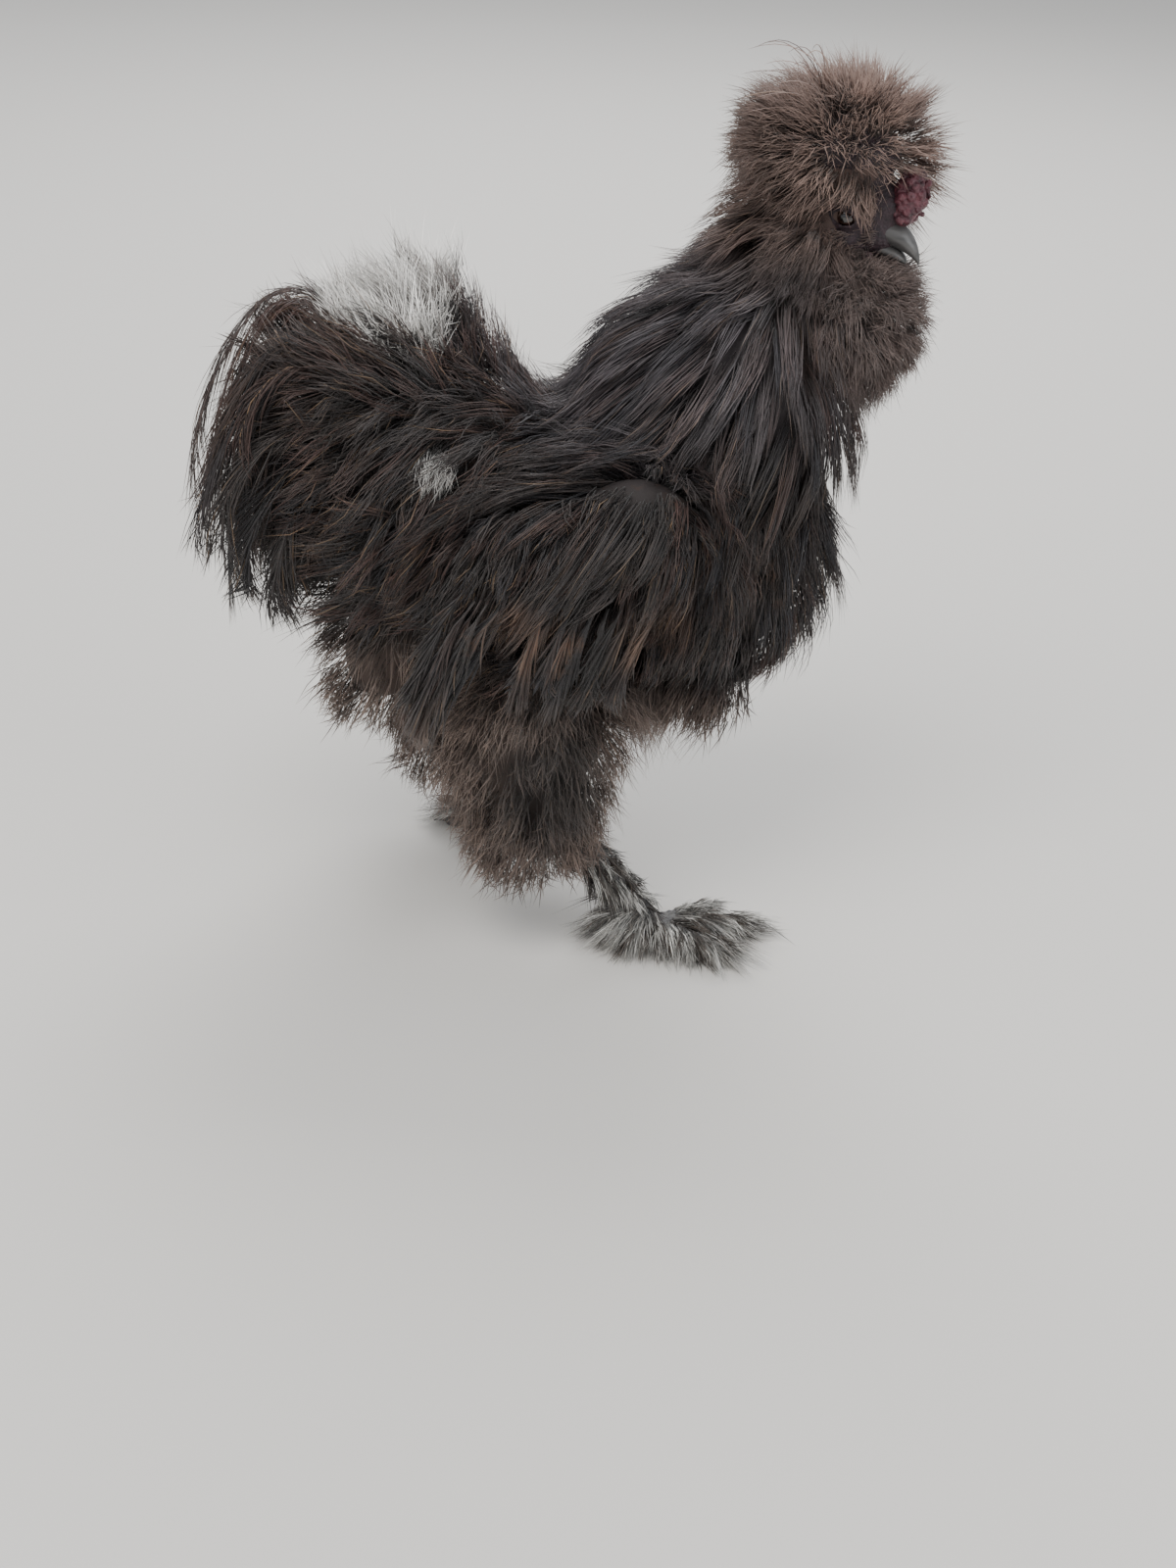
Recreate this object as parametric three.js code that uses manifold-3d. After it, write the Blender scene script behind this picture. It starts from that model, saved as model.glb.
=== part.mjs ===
// Silkie cockerel, life size, standing with its right foot forward and its head turned a little to its right.
// Millimetres. +X is forward, +Y is the bird's left, +Z is up; the floor is z = 0.
// Each part of the body is a core that reaches about half way out through the coat, with flat tapered
// locks, plumes or vanes set on it that reach the coat's tips.
import * as THREE from "three";
import { mergeVertices } from "three/addons/utils/BufferGeometryUtils.js";
import Module from "manifold-3d";

const wasm = await Module();
wasm.setup();

// Driving dimensions
const gap = 0.35;
const sink = 3.5;
const spacing = 1.17;
const tipGrowth = 5;
const headTurn = -20;
const headNod = 12;
const eyeRadius = 4.4;
const skullCentre = [101.6, 0, 309.6];
const legSpread = 42;
const rightAnkle = [46, -38, 13];
const leftAnkle = [-30, 47, 13];

// Small helpers
const radians = (degrees) => (degrees * Math.PI) / 180;
const vec = (x, y, z) => new THREE.Vector3(x, y, z);
const lift = vec(0, 0, 0.4);
const clamp = (x) => Math.min(1, Math.max(0, x));
const mix = (a, b, t) => a + (b - a) * t;

// Each part of the coat has its own draw of the random numbers, with which its locks vary a little.
const draws = { crest: 1, beard: 1 };
let seed = 7;
function random() {
  seed = (seed * 1664525 + 1013904223) % 4294967296;
  return seed / 4294967296;
}
const vary = (amount) => 1 + amount * (2 * random() - 1);

// The head has a frame of its own: x along the beak, y to the bird's left, z to the crown.
const headFrame = new THREE.Matrix4().compose(
  vec(...skullCentre),
  new THREE.Quaternion().setFromEuler(new THREE.Euler(0, radians(headNod), radians(headTurn), "ZYX")),
  vec(1, 1, 1),
);
const inHead = (x, y, z) => vec(x, y, z).applyMatrix4(headFrame);
const headWay = (x, y, z) => vec(x, y, z).transformDirection(headFrame);

// A lobe is an ellipsoid, pitched nose up about Y and then turned about Z. Its field is negative inside.
function lobe(x, y, z, rx, ry, rz, pitch = 0, turn = 0) {
  const frame = new THREE.Matrix4().compose(
    vec(x, y, z),
    new THREE.Quaternion().setFromEuler(new THREE.Euler(0, -radians(pitch), radians(turn), "ZYX")),
    vec(1, 1, 1),
  );
  const inverse = frame.clone().invert();
  return (p) => {
    const q = p.clone().applyMatrix4(inverse);
    const near = Math.hypot(q.x / rx, q.y / ry, q.z / rz);
    const slope = Math.hypot(q.x / rx ** 2, q.y / ry ** 2, q.z / rz ** 2);
    return slope < 1e-9 ? -Math.min(rx, ry, rz) : (near * (near - 1)) / slope;
  };
}
const headLobe = (x, y, z, rx, ry, rz, pitch = 0) => {
  const c = inHead(x, y, z);
  return lobe(c.x, c.y, c.z, rx, ry, rz, pitch - headNod, headTurn);
};

// The lobes of a form run into each other over the blend width.
function blended(lobes, blend) {
  return (p) =>
    lobes.map((f) => f(p)).reduce((a, b) => {
      const h = Math.max(blend - Math.abs(a - b), 0) / blend;
      return Math.min(a, b) - (h * h * blend) / 4;
    });
}
function slopeOf(field, p) {
  const e = 0.5;
  const along = (x, y, z) => field(p.clone().add(vec(x, y, z))) - field(p.clone().sub(vec(x, y, z)));
  return vec(along(e, 0, 0), along(0, e, 0), along(0, 0, e)).normalize();
}

// The forms of the body, each with the centre that its surface is seen from
const mirrored = (side) => (x, y, z, rx, ry, rz, pitch = 0, turn = 0) =>
  lobe(x, side * y, z, rx, ry, rz, pitch, side * turn);
const thighShift = { right: 0, left: -40 };
const forms = {
  torso: {
    centre: vec(5, 0, 168),
    field: blended(
      [
        lobe(16, 0, 168, 82, 60, 55, 6),
        lobe(72, 0, 172, 38, 48, 56),
        lobe(-46, 0, 176, 40, 44, 44),
        lobe(-66, 4, 122, 25, 32, 37, -20),
      ],
      18,
    ),
  },
  neck: {
    centre: vec(74, 0, 246),
    field: blended(
      [lobe(62, 0, 244, 51, 43, 33, 42), lobe(82, 0, 232, 35, 43, 40), lobe(89, -1, 289, 21, 22, 27)],
      14,
    ),
  },
  head: {
    centre: inHead(2, 0, 0),
    field: blended([headLobe(4, 0, 2, 17, 15, 15), headLobe(18, 0, -2, 13, 9.5, 9.5)], 6),
  },
  crest: { centre: vec(105, 3, 333), field: lobe(105, 3, 332, 29, 27, 16, -4) },
  beard: { centre: vec(117, -6, 268), field: lobe(117, -6, 268, 18, 18, 19) },
  saddle: {
    centre: vec(-46, 0, 212),
    field: blended([lobe(-40, 0, 208, 40, 42, 28, -6), lobe(-52, 0, 232, 22, 28, 26)], 14),
  },
  tail: {
    centre: vec(-82, 0, 210),
    field: blended([lobe(-80, 0, 216, 27, 27, 32, 25), lobe(-88, 0, 190, 20, 24, 28)], 14),
  },
};
for (const [name, side] of [["right", -1], ["left", 1]]) {
  const place = mirrored(side);
  const dx = thighShift[name];
  forms["muff_" + name] = {
    centre: inHead(-1, side * 17, -13),
    field: headLobe(-1, side * 17, -13, 10, 8, 10),
  };
  forms["wing_" + name] = {
    centre: vec(4, side * 58, 182),
    field: blended([place(2, 57, 180, 50, 18, 26, 14, 4), place(34, 52, 188, 30, 19, 30)], 10),
  };
  forms["thigh_" + name] = {
    centre: vec(-5 + dx, side * legSpread, 88),
    field: blended(
      [place(-5 + dx, legSpread + 2, 100, 33, 26, 34), place(-3 + dx, legSpread, 62, 22, 19, 28)],
      16,
    ),
  };
}
const bodyField = blended(Object.values(forms).map((form) => form.field), 10);

// The surface point of a form, seen from its centre along a direction
function surfacePoint(form, direction, out = 0) {
  let low = 0;
  let high = 150;
  for (let i = 0; i < 26; i += 1) {
    const middle = (low + high) / 2;
    const inside = form.field(form.centre.clone().addScaledVector(direction, middle)) < out;
    if (inside) low = middle;
    else high = middle;
  }
  return form.centre.clone().addScaledVector(direction, low);
}

// Solids
function solid(geometry, tolerance = 1e-4) {
  const bare = new THREE.BufferGeometry().setAttribute("position", geometry.getAttribute("position"));
  if (geometry.index) bare.setIndex(geometry.index);
  const merged = mergeVertices(bare, tolerance);
  return new wasm.Manifold(
    new wasm.Mesh({
      numProp: 3,
      vertProperties: new Float32Array(merged.attributes.position.array),
      triVerts: new Uint32Array(merged.index.array),
    }),
  );
}

// A form's core: a ball of rings and sides, each point moved out to the surface
function core(form, around, down, out = 0, axis = "z") {
  const ball = new THREE.SphereGeometry(1, around, down);
  if (axis === "x") ball.rotateZ(Math.PI / 2);
  if (axis === "z") ball.rotateX(Math.PI / 2);
  const merged = mergeVertices(
    new THREE.BufferGeometry().setAttribute("position", ball.toNonIndexed().getAttribute("position")),
    1e-4,
  );
  const place = merged.getAttribute("position");
  for (let i = 0; i < place.count; i += 1) {
    const way = vec(place.getX(i), place.getY(i), place.getZ(i)).normalize();
    const p = surfacePoint(form, way, out);
    place.setXYZ(i, p.x, p.y, p.z);
  }
  const index = Array.from(merged.index.array);
  const kept = [];
  for (let i = 0; i < index.length; i += 3) {
    const [a, b, c] = index.slice(i, i + 3);
    if (a !== b && b !== c && a !== c) kept.push(a, b, c);
  }
  merged.setIndex(kept);
  return solid(merged);
}

// A closed sweep: rings of one section along a path, capped at the root and drawn to a point at the tip
function sweep(path, ring, tip) {
  const points = [];
  const faces = [];
  const sides = ring(0).length;
  path.forEach((_, i) => points.push(...ring(i)));
  const end = points.length;
  points.push(tip);
  for (let i = 0; i < path.length - 1; i += 1) {
    for (let j = 0; j < sides; j += 1) {
      const a = i * sides + j;
      const b = i * sides + ((j + 1) % sides);
      faces.push(a, b, b + sides, a, b + sides, a + sides);
    }
  }
  const last = (path.length - 1) * sides;
  for (let j = 0; j < sides; j += 1) faces.push(last + j, last + ((j + 1) % sides), end);
  for (let j = 1; j < sides - 1; j += 1) faces.push(0, j + 1, j);
  const geometry = new THREE.BufferGeometry();
  geometry.setAttribute("position", new THREE.Float32BufferAttribute(points.flatMap((p) => p.toArray()), 3));
  geometry.setIndex(faces);
  return solid(geometry);
}

// A flat tapered lock: two edges and a raised middle. width is its greatest width, thick its middle.
// It lies with its middle away from the body, and turns little along its length.
// Grown, it keeps its shape, with every face moved out by that much.
function lockSolid(path, out, width, thick, grow = 0) {
  const count = path.length;
  const wayAt = (i) =>
    path[Math.min(i + 1, count - 1)].clone().sub(path[Math.max(i - 1, 0)]).normalize();
  const sides = [];
  path.forEach((_, i) => {
    const wanted = vec().crossVectors(wayAt(i), out[i].clone().add(lift)).normalize();
    const side = i === 0 ? wanted : wanted.addScaledVector(sides[i - 1], 2);
    sides.push(side.addScaledVector(wayAt(i), -side.dot(wayAt(i))).normalize());
  });
  const ring = (i) => {
    const share = i / (count - 1);
    const swell = 0.74 + 1.15 * share - 1.6 * share * share;
    const half = (width * swell) / 2;
    const high = thick * (1 - 0.5 * share);
    const slant = Math.hypot(half, high);
    const wide = half + (grow * (slant + half)) / high;
    const tall = high + (grow * slant) / half;
    const way = wayAt(i);
    const side = sides[i];
    const up = vec().crossVectors(side, way).normalize();
    const c = path[i].clone().addScaledVector(way, i === 0 ? -grow : 0);
    return [
      c.clone().addScaledVector(side, -wide).addScaledVector(up, -grow),
      c.clone().addScaledVector(up, tall),
      c.clone().addScaledVector(side, wide).addScaledVector(up, -grow),
    ];
  };
  const rings = path.slice(0, count - 1);
  const end = path[count - 1].clone().addScaledVector(wayAt(count - 1), grow * tipGrowth);
  return sweep(rings, ring, end);
}

// Grows a lock's path from a root on the body: it turns towards the lie as it goes, rises from the
// body to its full height at the tip, and doesn't stand higher than its limit.
function growPath(root, start, spec) {
  const step = spec.length / spec.steps;
  const way = start.clone().normalize();
  const path = [root.clone()];
  const out = [slopeOf(bodyField, root)];
  for (let i = 1; i <= spec.steps; i += 1) {
    const share = i / spec.steps;
    way.addScaledVector(spec.lie(path[i - 1]), spec.turn).normalize();
    const next = path[i - 1].clone().addScaledVector(way, step);
    const slope = slopeOf(bodyField, next);
    const height = bodyField(next);
    const least = spec.rise * Math.pow(share, 0.8);
    const most = (spec.limit ?? 1000) * Math.sqrt(share);
    if (height < least) next.addScaledVector(slope, least - height);
    if (height > most) next.addScaledVector(slope, most - height);
    next.z = Math.max(next.z, spec.floor ?? 1);
    path.push(next);
    out.push(slope);
    way.copy(next).sub(path[i - 1]).normalize();
  }
  return { path, out };
}

// Every lock's path so far, so that a lock of another node can be left out where it has no room
const laid = [];
const halfway = (path) => path.slice(1).map((p, i) => p.clone().lerp(path[i], 0.5));
function hasRoom(node, path, room) {
  const mine = [...path.slice(1), ...halfway(path).slice(1)];
  const clear = (spots) => mine.every((p) => spots.every((q) => p.distanceTo(q) > room));
  return laid.every((other) => other.node === node || clear(other.spots));
}

// Adds a lock and its clearance to a node. The clearance is the same lock, a gap larger all round.
function layLock(node, root, path, out, width, thick) {
  laid.push({ node, spots: [...path, ...halfway(path)] });
  const sunk = [...path];
  const depth = node.sink ?? sink;
  if (node.form) sunk[0] = path[0].clone().addScaledVector(slopeOf(node.form.field, root), -depth);
  const wide = width * vary(0.12);
  node.pieces.push(lockSolid(sunk, out, wide, thick));
  node.clearances.push(lockSolid(sunk, out, wide, thick, gap));
}
function addLock(node, root, start, spec) {
  const { path, out } = growPath(root, start, spec);
  if (hasRoom(node, path, spec.room)) layLock(node, root, path, out, spec.width, spec.thick);
}

// Even directions over a ball
function spread(count) {
  const golden = Math.PI * (3 - Math.sqrt(5));
  return Array.from({ length: count }, (_, i) => {
    const z = 1 - (2 * i + 1) / count;
    const r = Math.sqrt(1 - z * z);
    return vec(r * Math.cos(golden * i), r * Math.sin(golden * i), z);
  });
}

// Points spaced evenly round a form where a plane crosses it
function ringRoots(form, centre, normal, spacing, offset) {
  const u = vec().crossVectors(normal, Math.abs(normal.x) > 0.8 ? vec(0, 1, 0) : vec(1, 0, 0)).normalize();
  const v = vec().crossVectors(normal, u);
  const samples = 40;
  const ring = Array.from({ length: samples }, (_, i) => {
    const a = (2 * Math.PI * i) / samples;
    const way = u.clone().multiplyScalar(Math.cos(a)).addScaledVector(v, Math.sin(a));
    return surfacePoint({ centre, field: form.field }, way);
  });
  const loop = new THREE.CatmullRomCurve3(ring, true);
  const count = Math.max(3, Math.round(loop.getLength() / spacing));
  return Array.from({ length: count }, (_, i) => loop.getPointAt(((i + offset) / count) % 1));
}

// Sets rows of locks round a form, like shingles, wherever its surface is bare. The rows are spread
// from one end of an axis to the other, and each is set off half a lock from the row before.
function coat(node, axis, spec) {
  const others = Object.entries(forms).filter(([name]) => name !== node.name).map(([, form]) => form.field);
  const [from, to] = axis.map((p) => vec(...p));
  const normal = to.clone().sub(from).normalize();
  for (let k = 0; k < spec.rows; k += 1) {
    const centre = from.clone().lerp(to, k / (spec.rows - 1));
    for (const root of ringRoots(node.form, centre, normal, spec.width * spacing, (k % 2) / 2)) {
      if (others.some((field) => field(root) < spec.shy)) continue;
      const slope = slopeOf(node.form.field, root);
      const start = spec.start(root, slope);
      const length = typeof spec.length === "function" ? spec.length(root) : spec.length;
      if (start) addLock(node, root, start, { ...spec, length: length * vary(0.1) });
    }
  }
}

const nodes = [];
function makeNode(name, formName, around, down, axis) {
  const form = forms[formName ?? name];
  seed = draws[name] ?? 7;
  const node = { name, form, pieces: [], clearances: [] };
  if (form) {
    node.pieces.push(core(form, around, down, 0, axis));
    node.clearances.push(core(form, around, down, gap, axis));
  }
  nodes.push(node);
  return node;
}
function addSolid(node, make) {
  node.pieces.push(make(0));
  node.clearances.push(make(gap));
}

// Shapes in the head's own frame
function headEllipsoid(x, y, z, rx, ry, rz, around = 8, down = 6) {
  return (grow) => {
    const ball = new THREE.SphereGeometry(1, around, down).rotateX(Math.PI / 2);
    ball.scale(rx + grow, ry + grow, rz + grow).translate(x, y, z).applyMatrix4(headFrame);
    return solid(ball);
  };
}

// Comb: a cushion of small bulbs, grooved down the middle
const combCentre = [30.5, 0, 14.5];
const combSize = [8.5, 8, 13];
function makeComb() {
  const node = makeNode("comb");
  addSolid(node, headEllipsoid(...combCentre, combSize[0] - 1.5, combSize[1] - 1.5, combSize[2] - 1.5, 8, 6));
  const bulbs = 11;
  for (const [i, way] of spread(bulbs).entries()) {
    if (way.x < -0.5 || way.z < -0.5) continue;
    const side = way.y < 0 ? -1 : 1;
    const spot = [
      combCentre[0] + way.x * (combSize[0] - 2.4),
      combCentre[1] + way.y * (combSize[1] - 2.6) + side * 1.4,
      combCentre[2] + way.z * (combSize[2] - 2.4),
    ];
    const size = 3.2 + 0.9 * ((i * 7) % 5) / 4;
    addSolid(node, headEllipsoid(...spot, size, size * 0.85, size, 6, 4));
  }
}

// A bill half: rings from the gape to the tip, each a flattened oval that leans with the bill's bend
function billHalf(rings) {
  return (grow) => {
    const sides = 8;
    const path = rings.map(([x, , , z]) => inHead(x, 0, z));
    const ring = (i) => {
      const [x, wide, tall, z] = rings[i];
      return Array.from({ length: sides }, (_, j) => {
        const a = (2 * Math.PI * j) / sides;
        const back = i === 0 ? grow : 0;
        return inHead(x - back, (wide + grow) * Math.cos(a), z + (tall + grow) * Math.sin(a));
      });
    };
    const [x, , tall, z] = rings[rings.length - 1];
    return sweep(path, ring, inHead(x + 2.2 + grow, 0, z - tall * 0.9));
  };
}
function makeBill() {
  addSolid(
    makeNode("beak_upper"),
    billHalf([[23, 7, 5.5, 0.8], [33, 5.2, 4.6, -0.6], [38, 3.4, 3.3, -3], [41, 1.5, 1.9, -5.8]]),
  );
  addSolid(
    makeNode("beak_lower"),
    billHalf([[23, 6, 2.6, -7.4], [32, 4.2, 2.1, -8.4], [36, 2.4, 1.5, -9.4]]),
  );
}

function makeEyes() {
  for (const [name, side] of [["right", -1], ["left", 1]]) {
    const node = makeNode("eye_" + name);
    addSolid(node, headEllipsoid(11.5, side * 10.8, 3.4, eyeRadius, eyeRadius, eyeRadius, 8, 5));
  }
}

function makeHead() {
  const node = makeNode("head", "head", 8, 7, "x");
  for (const side of [-1, 1]) {
    const lid = (grow) => {
      const ring = new THREE.TorusGeometry(eyeRadius - 0.1, 1.1 + grow, 3, 8).scale(1.12, 0.86, 1);
      ring.rotateX(Math.PI / 2).translate(11.5, side * 13, 3.4).applyMatrix4(headFrame);
      return solid(ring);
    };
    addSolid(node, lid);
    addSolid(node, headEllipsoid(24, side * 6.6, 1.6, 3, 1.6, 2, 6, 4));
  }
}

function makeWattles() {
  for (const [name, side] of [["right", -1], ["left", 1]]) {
    const wattle = makeNode("wattle_" + name);
    addSolid(wattle, headEllipsoid(20, side * 5.6, -13.5, 4.4, 2.2, 5.6, 7, 5));
    addSolid(wattle, headEllipsoid(23, side * 5, -12, 2.6, 1.8, 3.4, 6, 4));
    const lobeNode = makeNode("earlobe_" + name);
    addSolid(lobeNode, headEllipsoid(1.5, side * 15, -3, 4.2, 2.2, 4.8, 7, 5));
  }
}

// The crest springs from the crown and falls outwards all round, swept back a little.
const crown = vec(110, 2, 330);
function makeCrest() {
  const node = makeNode("crest", "crest", 10, 7, "z");
  const away = (p) => vec(p.x - crown.x, p.y - crown.y, 0).divideScalar(30);
  const spec = {
    rows: 4,
    length: (p) => (p.z > 342 ? 22 : 26),
    width: 16.5,
    thick: 3.2,
    steps: 3,
    start: (root, slope) => {
      const bare = root.z > 323.5 || root.x < 100;
      return bare && slope.clone().multiplyScalar(0.5).add(away(root)).add(vec(-0.3, 0, 0.1));
    },
    lie: (p) => away(p).add(vec(-0.15, 0, p.z > 336 ? 0 : -0.8)),
    turn: 0.4,
    rise: 14,
    limit: 16,
    shy: 0.5,
    room: 0,
    floor: 315,
  };
  coat(node, [[105, 3, 324], [105, 3, 346.8]], spec);
  const streamers = 4;
  for (let i = 0; i < streamers; i += 1) {
    const across = (i - (streamers - 1) / 2) * 6;
    const root = surfacePoint(node.form, vec(-0.35, across / 26, 1).normalize());
    addLock(node, root, vec(-0.75, across / 90, 0.8), {
      length: 54 - 3 * Math.abs(i - 1.5),
      width: 2.4,
      thick: 1.4,
      steps: 5,
      lie: () => vec(-0.7, 0, -0.7),
      turn: 0.28,
      rise: 9,
      room: 0,
    });
  }
}

function makeBeard() {
  for (const side of ["right", "left"]) {
    const muff = makeNode("muff_" + side, "muff_" + side, 8, 6, "z");
    const { x, y, z } = muff.form.centre;
    coat(muff, [[x, y, z - 5], [x, y, z + 6]], {
      rows: 2,
      length: 18,
      width: 11,
      thick: 2.6,
      steps: 3,
      start: (root, slope) => slope.clone().multiplyScalar(0.5).add(headWay(-0.7, 0, -0.5)),
      lie: () => vec(-0.45, 0, -0.9),
      turn: 0.4,
      rise: 6,
      limit: 8,
      shy: -1,
      room: 4,
    });
  }
  const node = makeNode("beard", "beard", 10, 8, "z");
  coat(node, [[117, -6, 252], [117, -6, 282]], {
    rows: 4,
    length: 23,
    width: 13.5,
    thick: 3,
    steps: 3,
    start: (root, slope) => slope.clone().multiplyScalar(0.4).add(vec(0.05, 0, -0.8)),
    lie: () => vec(-0.05, 0, -1),
    turn: 0.4,
    rise: 9,
    limit: 11,
    shy: -1,
    room: 4,
  });
}

// The hackle falls from the head over the shoulders, the back and the breast.
function makeNeck() {
  const node = makeNode("neck", "neck", 12, 9, "z");
  const backness = (p) => clamp((95 - p.x) / 70);
  const lie = (p) => vec(mix(-0.12, -0.8, backness(p)), 0, mix(-1, -0.62, backness(p)));
  coat(node, [[62, 0, 214], [92, -1, 306]], {
    rows: 5,
    length: (p) => mix(50, 58, backness(p)),
    width: 24,
    thick: 4,
    steps: 3,
    start: (root, slope) => lie(root).add(slope.clone().multiplyScalar(0.35)),
    lie,
    turn: 0.5,
    rise: 10,
    limit: 12,
    shy: 0.5,
    room: 6,
  });
}

function makeSaddle() {
  const node = makeNode("saddle", "saddle", 12, 8, "z");
  const sideness = (p) => clamp((Math.abs(p.y) - 8) / 30);
  const lie = (p) =>
    vec(mix(-1, -0.45, sideness(p)), Math.sign(p.y) * 0.25 * sideness(p), mix(0.6, -1, sideness(p)));
  coat(node, [[-44, 0, 210], [-52, 0, 256]], {
    rows: 4,
    length: (p) => mix(34, 54, sideness(p)),
    width: 18.5,
    thick: 3.6,
    steps: 3,
    start: (root, slope) => lie(root).add(slope.clone().multiplyScalar(0.6)),
    lie,
    turn: 0.5,
    rise: 11,
    shy: 0.5,
    room: 7,
  });
}

// Tail: arched plumes in tiers over the tail head. A tier's plumes fan out from their roots, bend at
// the bow and come down to the tips. Those at the sides bow less high and end higher.
const tailTiers = [
  { reach: 0.1, plumes: 6, steps: 5, fan: 60, bow: [-112, 318], bowSide: 34, tip: [-151, 182], tipSide: 42 },
  { reach: -0.3, plumes: 6, steps: 4, fan: 66, bow: [-128, 274], bowSide: 44, tip: [-150, 158], tipSide: 52 },
  { reach: -0.6, plumes: 6, steps: 4, fan: 76, bow: [-128, 236], bowSide: 50, tip: [-138, 140], tipSide: 54 },
  { reach: -0.9, plumes: 6, steps: 3, fan: 84, bow: [-118, 205], bowSide: 50, tip: [-118, 130], tipSide: 50 },
];
const sideDrop = 44;
const sideLift = 20;
const tailHeart = vec(-95, 0, 190);
function makeTail() {
  const node = makeNode("tail", "tail", 10, 7, "z");
  for (const tier of tailTiers) {
    for (let i = 0; i < tier.plumes; i += 1) {
      const share = (2 * i) / (tier.plumes - 1) - 1;
      const angle = radians(share * tier.fan);
      const root = surfacePoint(node.form, vec(tier.reach, Math.sin(angle), Math.cos(angle)).normalize());
      const drop = sideDrop * share * share;
      const bow = vec(tier.bow[0] + 8 * share * share, tier.bowSide * share, tier.bow[1] - drop);
      const reach = mix(1, 0.9, share * share) * vary(0.02);
      const tipHeight = tier.tip[1] * vary(0.04) + sideLift * share * share;
      const tip = vec(tier.tip[0] * reach, tier.tipSide * share, tipHeight);
      const path = new THREE.QuadraticBezierCurve3(root, bow, tip).getPoints(tier.steps);
      layLock(node, root, path, path.map((p) => p.clone().sub(tailHeart).normalize()), 17, 3);
    }
  }
}

// Wings: folded, with primaries and secondaries in tiers under rows of coverts
const wingRows = [
  { from: [-34, 80, 168], to: [-14, 80, 158], vanes: 3, length: 56, width: 11, rise: 2, steep: 1 },
  { from: [-4, 80, 168], to: [44, 80, 172], vanes: 5, length: 36, width: 12, rise: 3, steep: 0.9 },
  { from: [-34, 80, 186], to: [46, 80, 190], vanes: 6, length: 38, width: 15, rise: 7, steep: 0.8 },
  { from: [-20, 74, 204], to: [62, 66, 196], vanes: 5, length: 40, width: 18, rise: 10, steep: 0.65 },
];
const tierStep = 2.8;
function makeWing(name, side) {
  const node = makeNode("wing_" + name, "wing_" + name, 10, 8, "x");
  for (const row of wingRows) {
    for (let i = 0; i < row.vanes; i += 1) {
      const share = i / (row.vanes - 1);
      const target = vec(...row.from).lerp(vec(...row.to), share).multiply(vec(1, side, 1));
      const root = surfacePoint(node.form, target.sub(node.form.centre).normalize());
      const rise = row.rise + (i % 2) * tierStep;
      addLock(node, root, vec(-0.6, side * 0.2, -row.steep), {
        length: row.length * mix(1.1, 0.9, share),
        width: row.width,
        thick: 1.8,
        steps: 3,
        lie: () => vec(-0.55, 0, -row.steep),
        turn: 0.5,
        rise,
        limit: rise + 0.5,
        room: 3,
      });
    }
  }
}

function makeThigh(name) {
  const node = makeNode("thigh_" + name, "thigh_" + name, 10, 8, "z");
  const { x, y } = node.form.centre;
  coat(node, [[x + 1, y, 44], [x, y, 126]], {
    rows: 4,
    length: 37,
    width: 23,
    thick: 3.6,
    steps: 3,
    start: (root, slope) => slope.clone().multiplyScalar(0.45).add(vec(-0.08, 0, -0.8)),
    lie: () => vec(-0.08, 0, -1),
    turn: 0.4,
    rise: 9,
    limit: 11,
    shy: 1,
    floor: 22,
    room: 7,
  });
}

function makeTorso() {
  const node = makeNode("torso", "torso", 12, 10, "x");
  node.sink = 8;
  const lie = (p) => vec(mix(-0.2, -0.5, clamp((40 - p.x) / 80)), 0, -1);
  coat(node, [[8, 0, 122], [8, 0, 208]], {
    rows: 4,
    length: 46,
    width: 27,
    thick: 4,
    steps: 3,
    start: (root, slope) => lie(root).add(slope.clone().multiplyScalar(0.4)),
    lie,
    turn: 0.45,
    rise: 9,
    limit: 11.5,
    shy: 1,
    room: 7,
  });
}

// A jointed limb: rings of a round section whose radius steps up and down like scutes
function limb(points, radii, sides = 6) {
  return (grow) => {
    const path = points.map((p) => vec(...p));
    const ring = (i) => {
      const way = path[Math.min(i + 1, path.length - 1)].clone().sub(path[Math.max(i - 1, 0)]).normalize();
      const side = vec().crossVectors(way, Math.abs(way.z) > 0.8 ? vec(1, 0, 0) : vec(0, 0, 1)).normalize();
      const up = vec().crossVectors(side, way);
      return Array.from({ length: sides }, (_, j) => {
        const a = (-2 * Math.PI * j) / sides;
        return path[i]
          .clone()
          .addScaledVector(way, i === 0 ? -grow : 0)
          .addScaledVector(side, (radii[i] + grow) * Math.cos(a))
          .addScaledVector(up, (radii[i] + grow) * Math.sin(a));
      });
    };
    const last = path[path.length - 1];
    const way = last.clone().sub(path[path.length - 2]).normalize();
    return sweep(path, ring, last.clone().addScaledVector(way, radii[radii.length - 1] * 0.5 + grow));
  };
}

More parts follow.
